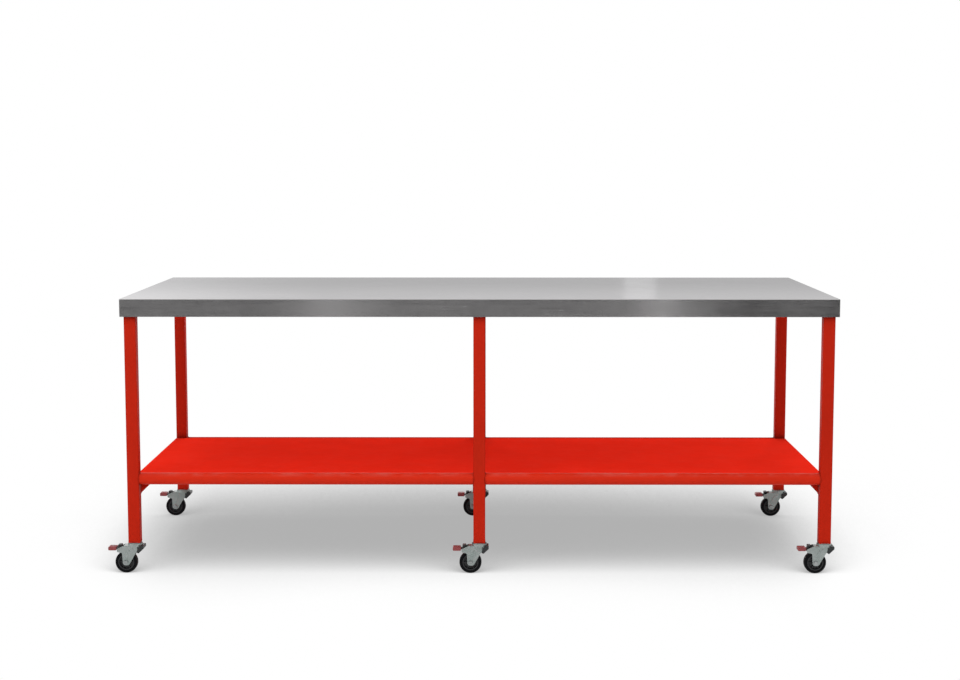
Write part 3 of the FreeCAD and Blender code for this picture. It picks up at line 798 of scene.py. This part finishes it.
def finished(name: str, mesh: Mesh, finish: Finish, body: str) -> None:
    """Turn a built mesh into a piece that rides a body.

    Args:
        name: The piece's name.
        mesh: Its mesh, which is freed.
        finish: Its finish.
        body: The body that it moves with.
    """
    bmesh.ops.recalc_face_normals(mesh, faces=mesh.faces)
    data = bpy.data.meshes.new(name)
    mesh.to_mesh(data)
    mesh.free()
    data.materials.append(finish.material())
    data.shade_smooth()
    piece = bpy.data.objects.new(name, data)
    bpy.context.scene.collection.objects.link(piece)
    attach(piece, body)
    LOG.info("piece %s on %s, %d faces", name, body, len(data.polygons))


def dressed(node: str, finish: Finish) -> None:
    """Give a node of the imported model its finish.

    Args:
        node: The node's name.
        finish: The finish.
    """
    piece = frame["nodes"][node]
    piece.data.materials.clear()
    piece.data.materials.append(finish.material())
    LOG.info("dressed %s in %s", node, finish.name)


def half_height(node: str) -> float:
    """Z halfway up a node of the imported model."""
    low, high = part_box(node)
    return (low.z + high.z) / 2


def loft(mesh: Mesh, rings: Sequence[Sequence[Vector]], closed: bool) -> None:
    """Skin rings of points, each ring closed on itself.

    Args:
        mesh: Mesh that gets the faces.
        rings: Rings with the same number of points.
        closed: Whether the last ring joins the first; otherwise both ends are capped.
    """
    rows = [[mesh.verts.new(point) for point in ring] for ring in rings]
    pairs = list(zip(rows, rows[1:]))
    if closed:
        pairs.append((rows[-1], rows[0]))
    for first, second in pairs:
        for index in range(len(first)):
            after = (index + 1) % len(first)
            mesh.faces.new((first[index], first[after], second[after], second[index]))
    if not closed:
        mesh.faces.new(rows[0])
        mesh.faces.new(rows[-1])


def turned(mesh: Mesh, section: Section, axle: Vector, steps: int) -> None:
    """Turn a closed section about an axle along Y.

    Args:
        mesh: Mesh that gets the faces.
        section: Points (distance from the axle, y), in order round the section.
        axle: Middle of the axle.
        steps: Number of steps in a turn.
    """
    rings = []
    for step in range(steps):
        angle = math.tau * step / steps
        outward = Vector((math.cos(angle), 0.0, math.sin(angle)))
        rings.append([axle + outward * away + Y_WAY * y for away, y in section])
    loft(mesh, rings, closed=True)


@dataclass(frozen=True)
class WeldBead:
    """A bead laid in ripples, as a torch leaves it."""

    radius: float = 0.0022
    pitch: float = 0.0028
    ripple: float = 0.1
    end_share: float = 0.35
    sides: int = 7
    guides: tuple[Point, Point] = ((0.31, 0.17, 0.93), (0.93, 0.31, 0.17))
    guide_limit: float = 0.2
    least_steps: int = 4
    slack: float = 1e-9

    def lay(self, mesh: Mesh, path: Sequence[Vector], closed: bool) -> None:
        """Lay the bead along a path.

        Args:
            mesh: Mesh that gets the bead.
            path: Corner points of the path.
            closed: Whether the path ends where it starts.
        """
        points = self.walk(path, closed)
        last = len(points) - 1
        rings = []
        for index, point in enumerate(points):
            before = points[index - 1] if closed or index else point
            after = points[(index + 1) % len(points)] if closed or index < last else point
            along = (after - before).normalized()
            side = along.cross(Vector(self.guides[0]))
            if side.length < self.guide_limit:
                side = along.cross(Vector(self.guides[1]))
            side.normalize()
            up = along.cross(side)
            swell = 1.0 + self.ripple * (1.0 if index % 2 else -1.0)
            at_end = not closed and index in (0, last)
            size = self.radius * (self.end_share if at_end else swell)
            rings.append([point + offset for offset in circle(side, up, size, self.sides)])
        loft(mesh, rings, closed)

    def walk(self, path: Sequence[Vector], closed: bool) -> list[Vector]:
        """Points at half the bead's pitch along a path.

        Args:
            path: Corner points of the path.
            closed: Whether the path ends where it starts.

        Returns:
            The points, an even number of them on a closed path.
        """
        corners = [*path, path[0]] if closed else list(path)
        lengths = [(b - a).length for a, b in zip(corners, corners[1:])]
        total = sum(lengths)
        count = max(self.least_steps, 2 * round(total / self.pitch))
        stops = count if closed else count + 1
        points = []
        for stop in range(stops):
            left = total * stop / count
            for start, end, length in zip(corners, corners[1:], lengths):
                if left <= length + self.slack:
                    points.append(start.lerp(end, min(1.0, left / length)))
                    break
                left -= length
        return points


def circle(across: Vector, up: Vector, radius: float, steps: int) -> list[Vector]:
    """Points round a circle in the plane of two directions, as offsets from its middle."""
    angles = [math.tau * step / steps for step in range(steps)]
    return [across * (math.cos(angle) * radius) + up * (math.sin(angle) * radius) for angle in angles]


def tube_outline(
    centre: Vector, across: Vector, up: Vector, size: float, rounding: float
) -> list[Vector]:
    """Outline of a square tube's end.

    Args:
        centre: Middle of the tube's end.
        across: First direction of the end's plane.
        up: Second direction of the end's plane.
        size: Side of the square.
        rounding: Radius of its corners.

    Returns:
        Points round the outline.
    """
    reach = size / 2 - rounding
    points = []
    for quarter in range(4):
        for step in range(CORNER_STEPS + 1):
            angle = math.tau * (quarter + step / CORNER_STEPS) / 4
            corner_u = reach if quarter in (0, 3) else -reach
            corner_v = reach if quarter in (0, 1) else -reach
            offset_u = corner_u + rounding * math.cos(angle)
            offset_v = corner_v + rounding * math.sin(angle)
            points.append(centre + across * offset_u + up * offset_v)
    return points


# Sub-assemblies


@dataclass
class Worktop:
    """Folded stainless top over its board, with a ground weld at each corner of the skirt."""

    corner_radius: float = 0.004
    diagonal: float = math.radians(45)
    fold: float = 0.003
    seam_width: float = 0.0032
    seam_height: float = 0.00025
    seam_sink: float = 0.0003
    seam_taper: float = 0.0004
    taper_share: float = 0.3
    steps: int = 8

    def build(self) -> None:
        """Dress the sheet, board and screws, and add the corner seams."""
        dressed("worktop_skin", STAINLESS)
        dressed("worktop_board", BOARD)
        dressed("fixing_screws", SCREW_STEEL)
        mesh = bmesh.new()
        low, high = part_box("worktop_skin")
        for x, turn_x in ((low.x, 1.0), (high.x, -1.0)):
            for y, turn_y in ((low.y, 1.0), (high.y, -1.0)):
                inward = Vector((turn_x, turn_y, 0.0))
                self.seam(mesh, Vector((x, y, 0.0)), inward, (low.z, high.z - self.fold))
        finished("worktop_corner_seams", mesh, STAINLESS, "table")

    def seam(self, mesh: Mesh, corner: Vector, inward: Vector, levels: Span) -> None:
        """Low rounded ridge down one rounded corner.

        Args:
            mesh: Mesh that gets the ridge.
            corner: Sharp corner of the skirt, as if it had no radius.
            inward: 1 or -1 along X and Y, toward the sheet.
            levels: Bottom and top of the ridge.
        """
        low, high = levels
        middle = corner + inward * self.corner_radius
        half_angle = self.seam_width / self.corner_radius / 2
        rings = []
        for level in (low, low + self.seam_taper, high - self.seam_taper, high):
            height = self.seam_height * (self.taper_share if level in levels else 1.0)
            outer = []
            inner = []
            for step in range(self.steps + 1):
                swing = self.diagonal + half_angle * (2 * step / self.steps - 1)
                outward = Vector((-inward.x * math.cos(swing), -inward.y * math.sin(swing), 0.0))
                bulge = math.sin(math.pi * step / self.steps) * height
                base = middle + Z_WAY * level
                outer.append(base + outward * (self.corner_radius + bulge))
                inner.append(base + outward * (self.corner_radius - self.seam_sink))
            rings.append(outer + inner[::-1])
        loft(mesh, rings, closed=False)


@dataclass
class RedFrame:
    """Welded frame of square tube: six legs, the top frame and the rails that carry the shelf."""

    tube: float = 0.040
    rounding: float = 0.004
    bead: WeldBead = WeldBead()
    plate_bead: WeldBead = WeldBead(radius=0.0016, pitch=0.0024)

    def build(self) -> None:
        """Dress the tubes and add the welds."""
        for leg in Leg:
            dressed(f"leg_{leg.value}", FRAME_RED)
        for node in ("top_long_rails", "top_cross_rails", "leg_end_plates", "fixing_tabs"):
            dressed(node, FRAME_RED)
        self.top_welds()
        self.plate_welds()

    def columns(self) -> list[float]:
        """X of the three pairs of legs."""
        return [leg.centre().x for leg in (Leg.FRONT_LEFT, Leg.FRONT_MIDDLE, Leg.FRONT_RIGHT)]

    def rows(self) -> list[float]:
        """Y of the front legs and of the back legs."""
        return [leg.centre().y for leg in (Leg.FRONT_LEFT, Leg.BACK_LEFT)]

    def bays(self) -> list[Span]:
        """X of the legs' faces at the two ends of each bay."""
        half = self.tube / 2
        return [(a + half, b - half) for a, b in zip(self.columns(), self.columns()[1:])]

    def long_joints(self, rows: Iterable[float], height: float) -> list[Vector]:
        """Middles of the joints between legs and long rails, in rows at some Y and at one height."""
        return [Vector((x, y, height)) for y in rows for bay in self.bays() for x in bay]

    def cross_joints(self, height: float) -> list[Vector]:
        """Middles of the joints between legs and cross rails at one height."""
        ends = (self.rows()[0] + self.tube / 2, self.rows()[1] - self.tube / 2)
        return [Vector((x, y, height)) for x in self.columns() for y in ends]

    def rail_welds(self, mesh: Mesh, long_rows: Iterable[float], height: float) -> None:
        """Lay a bead round the end of each square rail at one height.

        Args:
            mesh: Mesh that gets the beads.
            long_rows: Y of each line of long rails.
            height: Z of the rails' middle.
        """
        ends = [(joint, Y_WAY) for joint in self.long_joints(long_rows, height)]
        ends += [(joint, X_WAY) for joint in self.cross_joints(height)]
        for joint, across in ends:
            outline = tube_outline(joint, across, Z_WAY, self.tube, self.rounding)
            self.bead.lay(mesh, outline, closed=True)

    def top_welds(self) -> None:
        """Welds of the frame under the worktop."""
        mesh = bmesh.new()
        self.rail_welds(mesh, self.rows(), half_height("top_long_rails"))
        finished("top_frame_welds", mesh, FRAME_RED, "table")

    def plate_welds(self) -> None:
        """Welds between the legs and their end plates."""
        mesh = bmesh.new()
        size = self.tube - self.plate_bead.radius
        for leg in Leg:
            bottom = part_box(f"leg_{leg.value}")[0].z
            outline = tube_outline(leg.centre() + Z_WAY * bottom, X_WAY, Y_WAY, size, self.rounding)
            self.plate_bead.lay(mesh, outline, closed=True)
        finished("end_plate_welds", mesh, FRAME_RED, "table")


@dataclass
class LowerShelf:
    """Sheet on square rails, with a round rail welded along its front edge."""

    frame: RedFrame
    stitch_length: float = 0.032
    stitch_gap: float = 0.19
    cross_stitches: int = 4
    rail_groove: Span = (0.0004, 0.0005)
    cross_groove: Span = (0.0006, 0.0005)
    back_groove: Span = (0.0009, 0.0005)
    seam_overlap: float = 0.0005
    round_steps: int = 48
    bead: WeldBead = WeldBead(radius=0.0019)
    seam_bead: WeldBead = WeldBead(radius=0.0020, pitch=0.0032)

    def build(self) -> None:
        """Dress the sheet and rails, and add their welds."""
        dressed("shelf_sheet", SHELF_RED_LIGHTENED)
        dressed("shelf_front_rail", RAIL_RED_LIGHTENED)
        dressed("shelf_support_rails", UNDER_RED)
        front, back = self.frame.rows()
        mesh = bmesh.new()
        self.frame.rail_welds(mesh, [back], half_height("shelf_support_rails"))
        self.round_welds(mesh, front)
        finished("shelf_frame_welds", mesh, FRAME_RED, "table")
        self.stitches()
        self.back_seam()

    def round_welds(self, mesh: Mesh, row: float) -> None:
        """Beads round the ends of the round rail.

        Args:
            mesh: Mesh that gets the beads.
            row: Y of the rail.
        """
        height = half_height("shelf_front_rail")
        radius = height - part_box("shelf_front_rail")[0].z
        offsets = circle(Y_WAY, Z_WAY, radius, self.round_steps)
        for joint in self.frame.long_joints([row], height):
            self.bead.lay(mesh, [joint + offset for offset in offsets], closed=True)

    def stitch(self, mesh: Mesh, middle: Vector, along: Vector) -> None:
        """One short bead about its middle."""
        reach = along * (self.stitch_length / 2)
        self.bead.lay(mesh, [middle - reach, middle + reach], closed=False)

    def stitches(self) -> None:
        """Short beads between the sheet and the round rail, and under it along the middle cross rail."""
        low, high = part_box("shelf_sheet")
        mesh = bmesh.new()
        for start, end in self.frame.bays():
            count = int((end - start) / self.stitch_gap)
            for index in range(count):
                x = start + (end - start) * (index + 0.5) / count
                middle = Vector((x, low.y + self.rail_groove[0], high.z + self.rail_groove[1]))
                self.stitch(mesh, middle, X_WAY)
        (_, left_face), (right_face, _) = self.frame.bays()
        front, back = self.frame.rows()
        depth = back - front - self.frame.tube
        for x in (left_face - self.cross_groove[0], right_face + self.cross_groove[0]):
            for index in range(self.cross_stitches):
                y = front + self.frame.tube / 2 + depth * (index + 0.5) / self.cross_stitches
                self.stitch(mesh, Vector((x, y, low.z - self.cross_groove[1])), Y_WAY)
        finished("shelf_stitch_welds", mesh, SHELF_RED_LIGHTENED, "table")

    def back_seam(self) -> None:
        """Bead in the groove between the sheet's back edge and the rounded corner of the back rail."""
        low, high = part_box("shelf_sheet")
        mesh = bmesh.new()
        for start, end in self.frame.bays():
            y = high.y + self.back_groove[0]
            z = low.z - self.back_groove[1]
            path = [Vector((x, y, z)) for x in (start - self.seam_overlap, end + self.seam_overlap)]
            self.seam_bead.lay(mesh, path, closed=False)
        finished("shelf_back_seam", mesh, FRAME_RED, "table")


@dataclass
class Castor:
    """One swivel castor: zinc fork, black rubber wheel and a brake rocker with a red pedal."""

    leg: Leg
    trail: float = 0.030
    wheel_radius: float = 0.0375
    tyre_width: float = 0.024
    fork_width: float = 0.036
    washer_bore: float = 0.0042
    washer_radius: float = 0.0088
    washer_thickness: float = 0.0011
    washer_chamfer: float = 0.0003
    nut_height: float = 0.0075
    collar: Section = (
        (0.0041, -0.0002),
        (0.0062, -0.0002),
        (0.0061, 0.0008),
        (0.0055, 0.0013),
        (0.0045, 0.0013),
    )
    turned_steps: int = 40
    moulded_rings: tuple[Point, ...] = ((0.0295, 0.0009, 0.0004), (0.0312, 0.0005, 0.0003))
    moulded_sink: float = 0.0003
    parting_line: Section = ((0.0003, 0.0005), (0.00005, 0.0002))
    tyre_steps: int = 72
    swage: Section = ((-0.012, 0.0895), (-0.019, 0.076), (-0.0245, 0.064), (-0.0275, 0.0545))
    swage_size: Span = (0.0024, 0.0009)
    swage_end: Span = (0.0008, 0.0001)
    swage_sink: float = 0.0002
    swage_steps: int = 6

    def build(self) -> None:
        """Dress the castor's nodes and add its small pieces."""
        finishes = {
            "fork": ZINC,
            "fork_pins": BOLT_ZINC,
            "tyre": RUBBER,
            "wheel_centre": WHEEL_BLACK,
            "wheel_bush": BUSH_STEEL,
            "brake_lever": BRAKE_BLACK,
            "brake_pedal": PEDAL_RED,
        }
        for node, finish in finishes.items():
            dressed(f"{node}_{self.leg.value}", finish)
        self.washers()
        self.sidewall_rings()
        self.cheek_swages()

    def axle(self) -> Vector:
        """Middle of the axle."""
        return self.leg.centre() + Vector((-self.trail, 0.0, self.wheel_radius))

    def washers(self) -> None:
        """Chamfered washer under the bolt head and nut, and the locking collar of the nut."""
        mesh = bmesh.new()
        inner = self.fork_width / 2
        outer = inner + self.washer_thickness
        chamfered = outer - self.washer_chamfer
        for side in (-1.0, 1.0):
            section = (
                (self.washer_bore, side * inner),
                (self.washer_radius, side * inner),
                (self.washer_radius, side * chamfered),
                (self.washer_radius - self.washer_chamfer, side * outer),
                (self.washer_bore, side * outer),
            )
            turned(mesh, section, self.axle(), self.turned_steps)
        end = inner + self.nut_height
        collar = [(away, end + beyond) for away, beyond in self.collar]
        turned(mesh, collar, self.axle(), self.turned_steps)
        name = self.leg.value
        finished(f"axle_washers_{name}", mesh, BOLT_ZINC, f"swivel_{name}")

    def sidewall_rings(self) -> None:
        """Moulded rings on each side of the tyre and the parting line round its tread."""
        mesh = bmesh.new()
        half = self.tyre_width / 2
        base = half - self.moulded_sink
        for side in (-1.0, 1.0):
            for away, width, proud in self.moulded_rings:
                section = (
                    (away - width, side * base),
                    (away + width, side * base),
                    (away + width / 2, side * (half + proud)),
                    (away - width / 2, side * (half + proud)),
                )
                turned(mesh, section, self.axle(), self.tyre_steps)
        (deep, wide), (shallow, narrow) = self.parting_line
        floor, crest = self.wheel_radius - deep, self.wheel_radius - shallow
        line = ((floor, -wide), (crest, -narrow), (crest, narrow), (floor, wide))
        turned(mesh, line, self.axle(), self.tyre_steps)
        finished(f"tyre_rings_{self.leg.value}", mesh, RUBBER, f"wheel_{self.leg.value}")

    def cheek_swages(self) -> None:
        """Pressed stiffening rib down each cheek of the fork, from its head to the axle."""
        mesh = bmesh.new()
        face = self.fork_width / 2 - self.swage_sink
        last = len(self.swage) - 1
        swings = [math.pi * step / self.swage_steps for step in range(self.swage_steps + 1)]
        for side in (-1.0, 1.0):
            rings = []
            for index, (x, z) in enumerate(self.swage):
                before = self.swage[max(0, index - 1)]
                after = self.swage[min(last, index + 1)]
                along = Vector((after[0] - before[0], 0.0, after[1] - before[1])).normalized()
                across = Vector((along.z, 0.0, -along.x))
                width, proud = self.swage_end if index in (0, last) else self.swage_size
                base = self.leg.centre() + Vector((x, side * face, z))
                outward = Y_WAY * (side * proud)
                ring = [base + across * (math.cos(a) * width) + outward * math.sin(a) for a in swings]
                rings.append(ring)
            loft(mesh, rings, closed=False)
        finished(f"fork_swages_{self.leg.value}", mesh, ZINC, f"swivel_{self.leg.value}")


# Studio


@dataclass(frozen=True)
class SoftLamp:
    """A rectangular lamp, unseen by the camera and by the rays that it names."""

    name: str
    place: Point
    target: Point
    size: Span
    power: float
    unseen_by: tuple[str, ...] = ("glossy",)

    def hang(self) -> None:
        """Add the lamp to the scene."""
        data = bpy.data.lights.new(self.name, "AREA")
        data.shape = "RECTANGLE"
        data.size, data.size_y = self.size
        data.energy = self.power
        lamp = bpy.data.objects.new(self.name, data)
        bpy.context.scene.collection.objects.link(lamp)
        aim = (Vector(self.target) - Vector(self.place)).to_track_quat("-Z", "Y")
        lamp.matrix_world = Matrix.Translation(self.place) @ aim.to_matrix().to_4x4()
        lamp.visible_camera = False
        for rays in self.unseen_by:
            setattr(lamp, f"visible_{rays}", False)
        LOG.info("lamp %s, %.0f W", self.name, self.power)


# Rays that don't see a lamp whose only work is a reflection in the steel
ONLY_IN_METAL = ("diffuse", "transmission")


@dataclass
class Studio:
    """Plain pale floor and backdrop, soft lamps and the camera."""

    floor_radius: float = 3.4
    floor_sides: int = 96
    floor_colour: Colour = (0.8, 0.8, 0.8)
    white: Colour = (1.0, 1.0, 1.0)
    shadow_reach: float = 2.0
    shadow_lean: float = math.radians(45)
    shadow_tuck: float = 0.5
    shadow_flare: float = 1.1
    shadow_middle: Span = (0.0, 0.9)
    shadow_end: Span = (0.95, 1.5)
    shadow_range: Span = (0.42, 0.92)
    shadow_falloff: float = 1.4
    shadow_level: float = 0.44
    sky_level: float = 0.84
    bright_corner: float = 1.5
    corner_turn: Span = (-0.25, -0.09)
    dark_side: Span = (0.14, 0.002)
    dark_turn: Span = (-0.25, 0.25)
    dark_height: Span = (0.24, 0.56)
    raised_level: float = 0.8
    near_turn: Span = (-0.75, 0.1)
    lens: float = 65.2
    film_width: float = 36.0
    far_clip: float = 100.0
    camera_place: Point = (0.0586, -6.2587, 1.4212)
    camera_turn: Point = (math.pi / 2 - 0.10778, 0.0, 0.00471)
    lamps: tuple[SoftLamp, ...] = (
        SoftLamp("overhead", (0.0, -0.6, 3.6), (0.0, 0.0, 0.9), (4.2, 2.6), 60.0),
        SoftLamp("front_fill", (-1.2, -4.0, 4.0), (0.0, 0.0, 0.5), (3.2, 1.8), 84.0),
        SoftLamp("back_fill", (0.5, 4.2, 2.2), (0.0, 0.0, 0.35), (4.0, 1.4), 166.0),
        SoftLamp("top_strip", (0.87, 3.0, 1.45), (0.174, 0.0, 0.9), (0.17, 1.1), 0.26, ONLY_IN_METAL),
        SoftLamp("skirt_strip", (1.275, -7.0, 0.6), (0.255, 0.0, 0.9), (0.12, 1.2), 1.5, ONLY_IN_METAL),
        SoftLamp("skirt_glow", (-1.05, -7.0, 0.6), (-0.21, 0.0, 0.9), (0.26, 1.2), 1.1, ONLY_IN_METAL),
    )

    def build(self) -> None:
        """Make the world, floor, lamps and camera."""
        self.world()
        self.floor()
        for lamp in self.lamps:
            lamp.hang()
        self.camera()
        bpy.context.scene.view_settings.view_transform = "Standard"

    def world(self) -> None:
        """White surroundings that light the table plainly, darker on the camera's side in reflections."""
        world = bpy.data.worlds.new("studio_world")
        bpy.context.scene.world = world
        world.use_nodes = True
        bench = Bench(world.node_tree)
        path = bench.node("LightPath").outputs
        toward = bench.parts(bench.node("TexCoord").outputs["Generated"])
        dark_level = bench.spread(toward["X"], self.dark_turn, *self.dark_side)
        far_level = bench.spread(toward["X"], self.corner_turn, self.bright_corner, 1.0)
        near_level = bench.spread(toward["Z"], self.dark_height, dark_level, self.raised_level)
        shown = bench.spread(toward["Y"], self.near_turn, near_level, far_level)
        mirrored = bench.math("MAXIMUM", path["Is Glossy Ray"], path["Is Transmission Ray"])
        level = bench.eased(mirrored, self.sky_level, shown)
        strength = bench.eased(path["Is Camera Ray"], level, 1.0)
        back = bench.node("Background", {"Color": self.white, "Strength": strength})
        bench.node("OutputWorld", {"Surface": back.outputs[0]})

    def floor(self) -> None:
        """Round pale floor that keeps the table's shadow."""
        mesh = bmesh.new()
        bmesh.ops.create_circle(
            mesh, cap_ends=True, segments=self.floor_sides, radius=self.floor_radius
        )
        data = bpy.data.meshes.new("studio_floor")
        mesh.to_mesh(data)
        mesh.free()
        material = bpy.data.materials.new("studio_floor")
        material.use_nodes = True
        bench = Bench(material.node_tree)
        path = bench.node("LightPath").outputs
        mirrored = bench.math("MAXIMUM", path["Is Glossy Ray"], path["Is Transmission Ray"])
        seen = bench.math("MAXIMUM", path["Is Camera Ray"], mirrored)
        plain = bench.node("BsdfDiffuse", {"Color": self.floor_colour})
        lit = bench.node("Emission", {"Color": self.white, "Strength": self.shadow(bench)})
        both = bench.node("MixShader", {0: seen, 1: plain.outputs[0], 2: lit.outputs[0]})
        bench.node("OutputMaterial", {"Surface": both.outputs[0]})
        data.materials.append(material)
        floor = bpy.data.objects.new("studio_floor", data)
        bpy.context.scene.collection.objects.link(floor)

    def shadow(self, bench: Bench) -> Output:
        """Brightness of the floor where it is seen: 1 in the open, less under the table and behind it.

        Args:
            bench: The floor's tree.

        Returns:
            The output socket.
        """
        place_x = bench.parts(bench.node("NewGeometry").outputs["Position"])["X"]
        away = bench.math("ABSOLUTE", place_x)
        inward = bench.spread(away, self.shadow_middle, 0.0, -self.shadow_tuck)
        outward = bench.spread(away, self.shadow_end, 0.0, self.shadow_flare)
        sideways = bench.times(bench.plus(inward, outward), bench.math("SIGN", place_x))
        forward = {"X": sideways, "Y": -math.sin(self.shadow_lean), "Z": math.cos(self.shadow_lean)}
        lean = bench.vector("NORMALIZE", bench.node("CombineXYZ", forward).outputs[0])
        feeds = {"Distance": self.shadow_reach, "Normal": lean}
        openness = bench.node("AmbientOcclusion", feeds, samples=16).outputs["AO"]
        low, high = self.shadow_range
        clear = bench.node("MapRange", {"Value": openness, "From Min": low, "From Max": high})
        faded = bench.math("POWER", clear.outputs["Result"], self.shadow_falloff)
        return bench.plus(bench.times(faded, 1.0 - self.shadow_level), self.shadow_level)

    def camera(self) -> None:
        """Camera at eye level in front of the table."""
        data = bpy.data.cameras.new("camera")
        data.lens = self.lens
        data.sensor_width = self.film_width
        data.clip_end = self.far_clip
        camera = bpy.data.objects.new("camera", data)
        camera.location = self.camera_place
        camera.rotation_euler = self.camera_turn
        bpy.context.scene.collection.objects.link(camera)
        bpy.context.scene.camera = camera


def main() -> None:
    """Build the table's sub-assemblies and the studio in order."""
    logging.basicConfig(level=logging.INFO, format="%(name)s: %(message)s")
    Worktop().build()
    red_frame = RedFrame()
    red_frame.build()
    LowerShelf(red_frame).build()
    dressed("castor_stems", ZINC)
    dressed("swivel_balls", BALL_STEEL)
    for leg in Leg:
        Castor(leg).build()
    Studio().build()


if __name__ == "__main__":
    main()
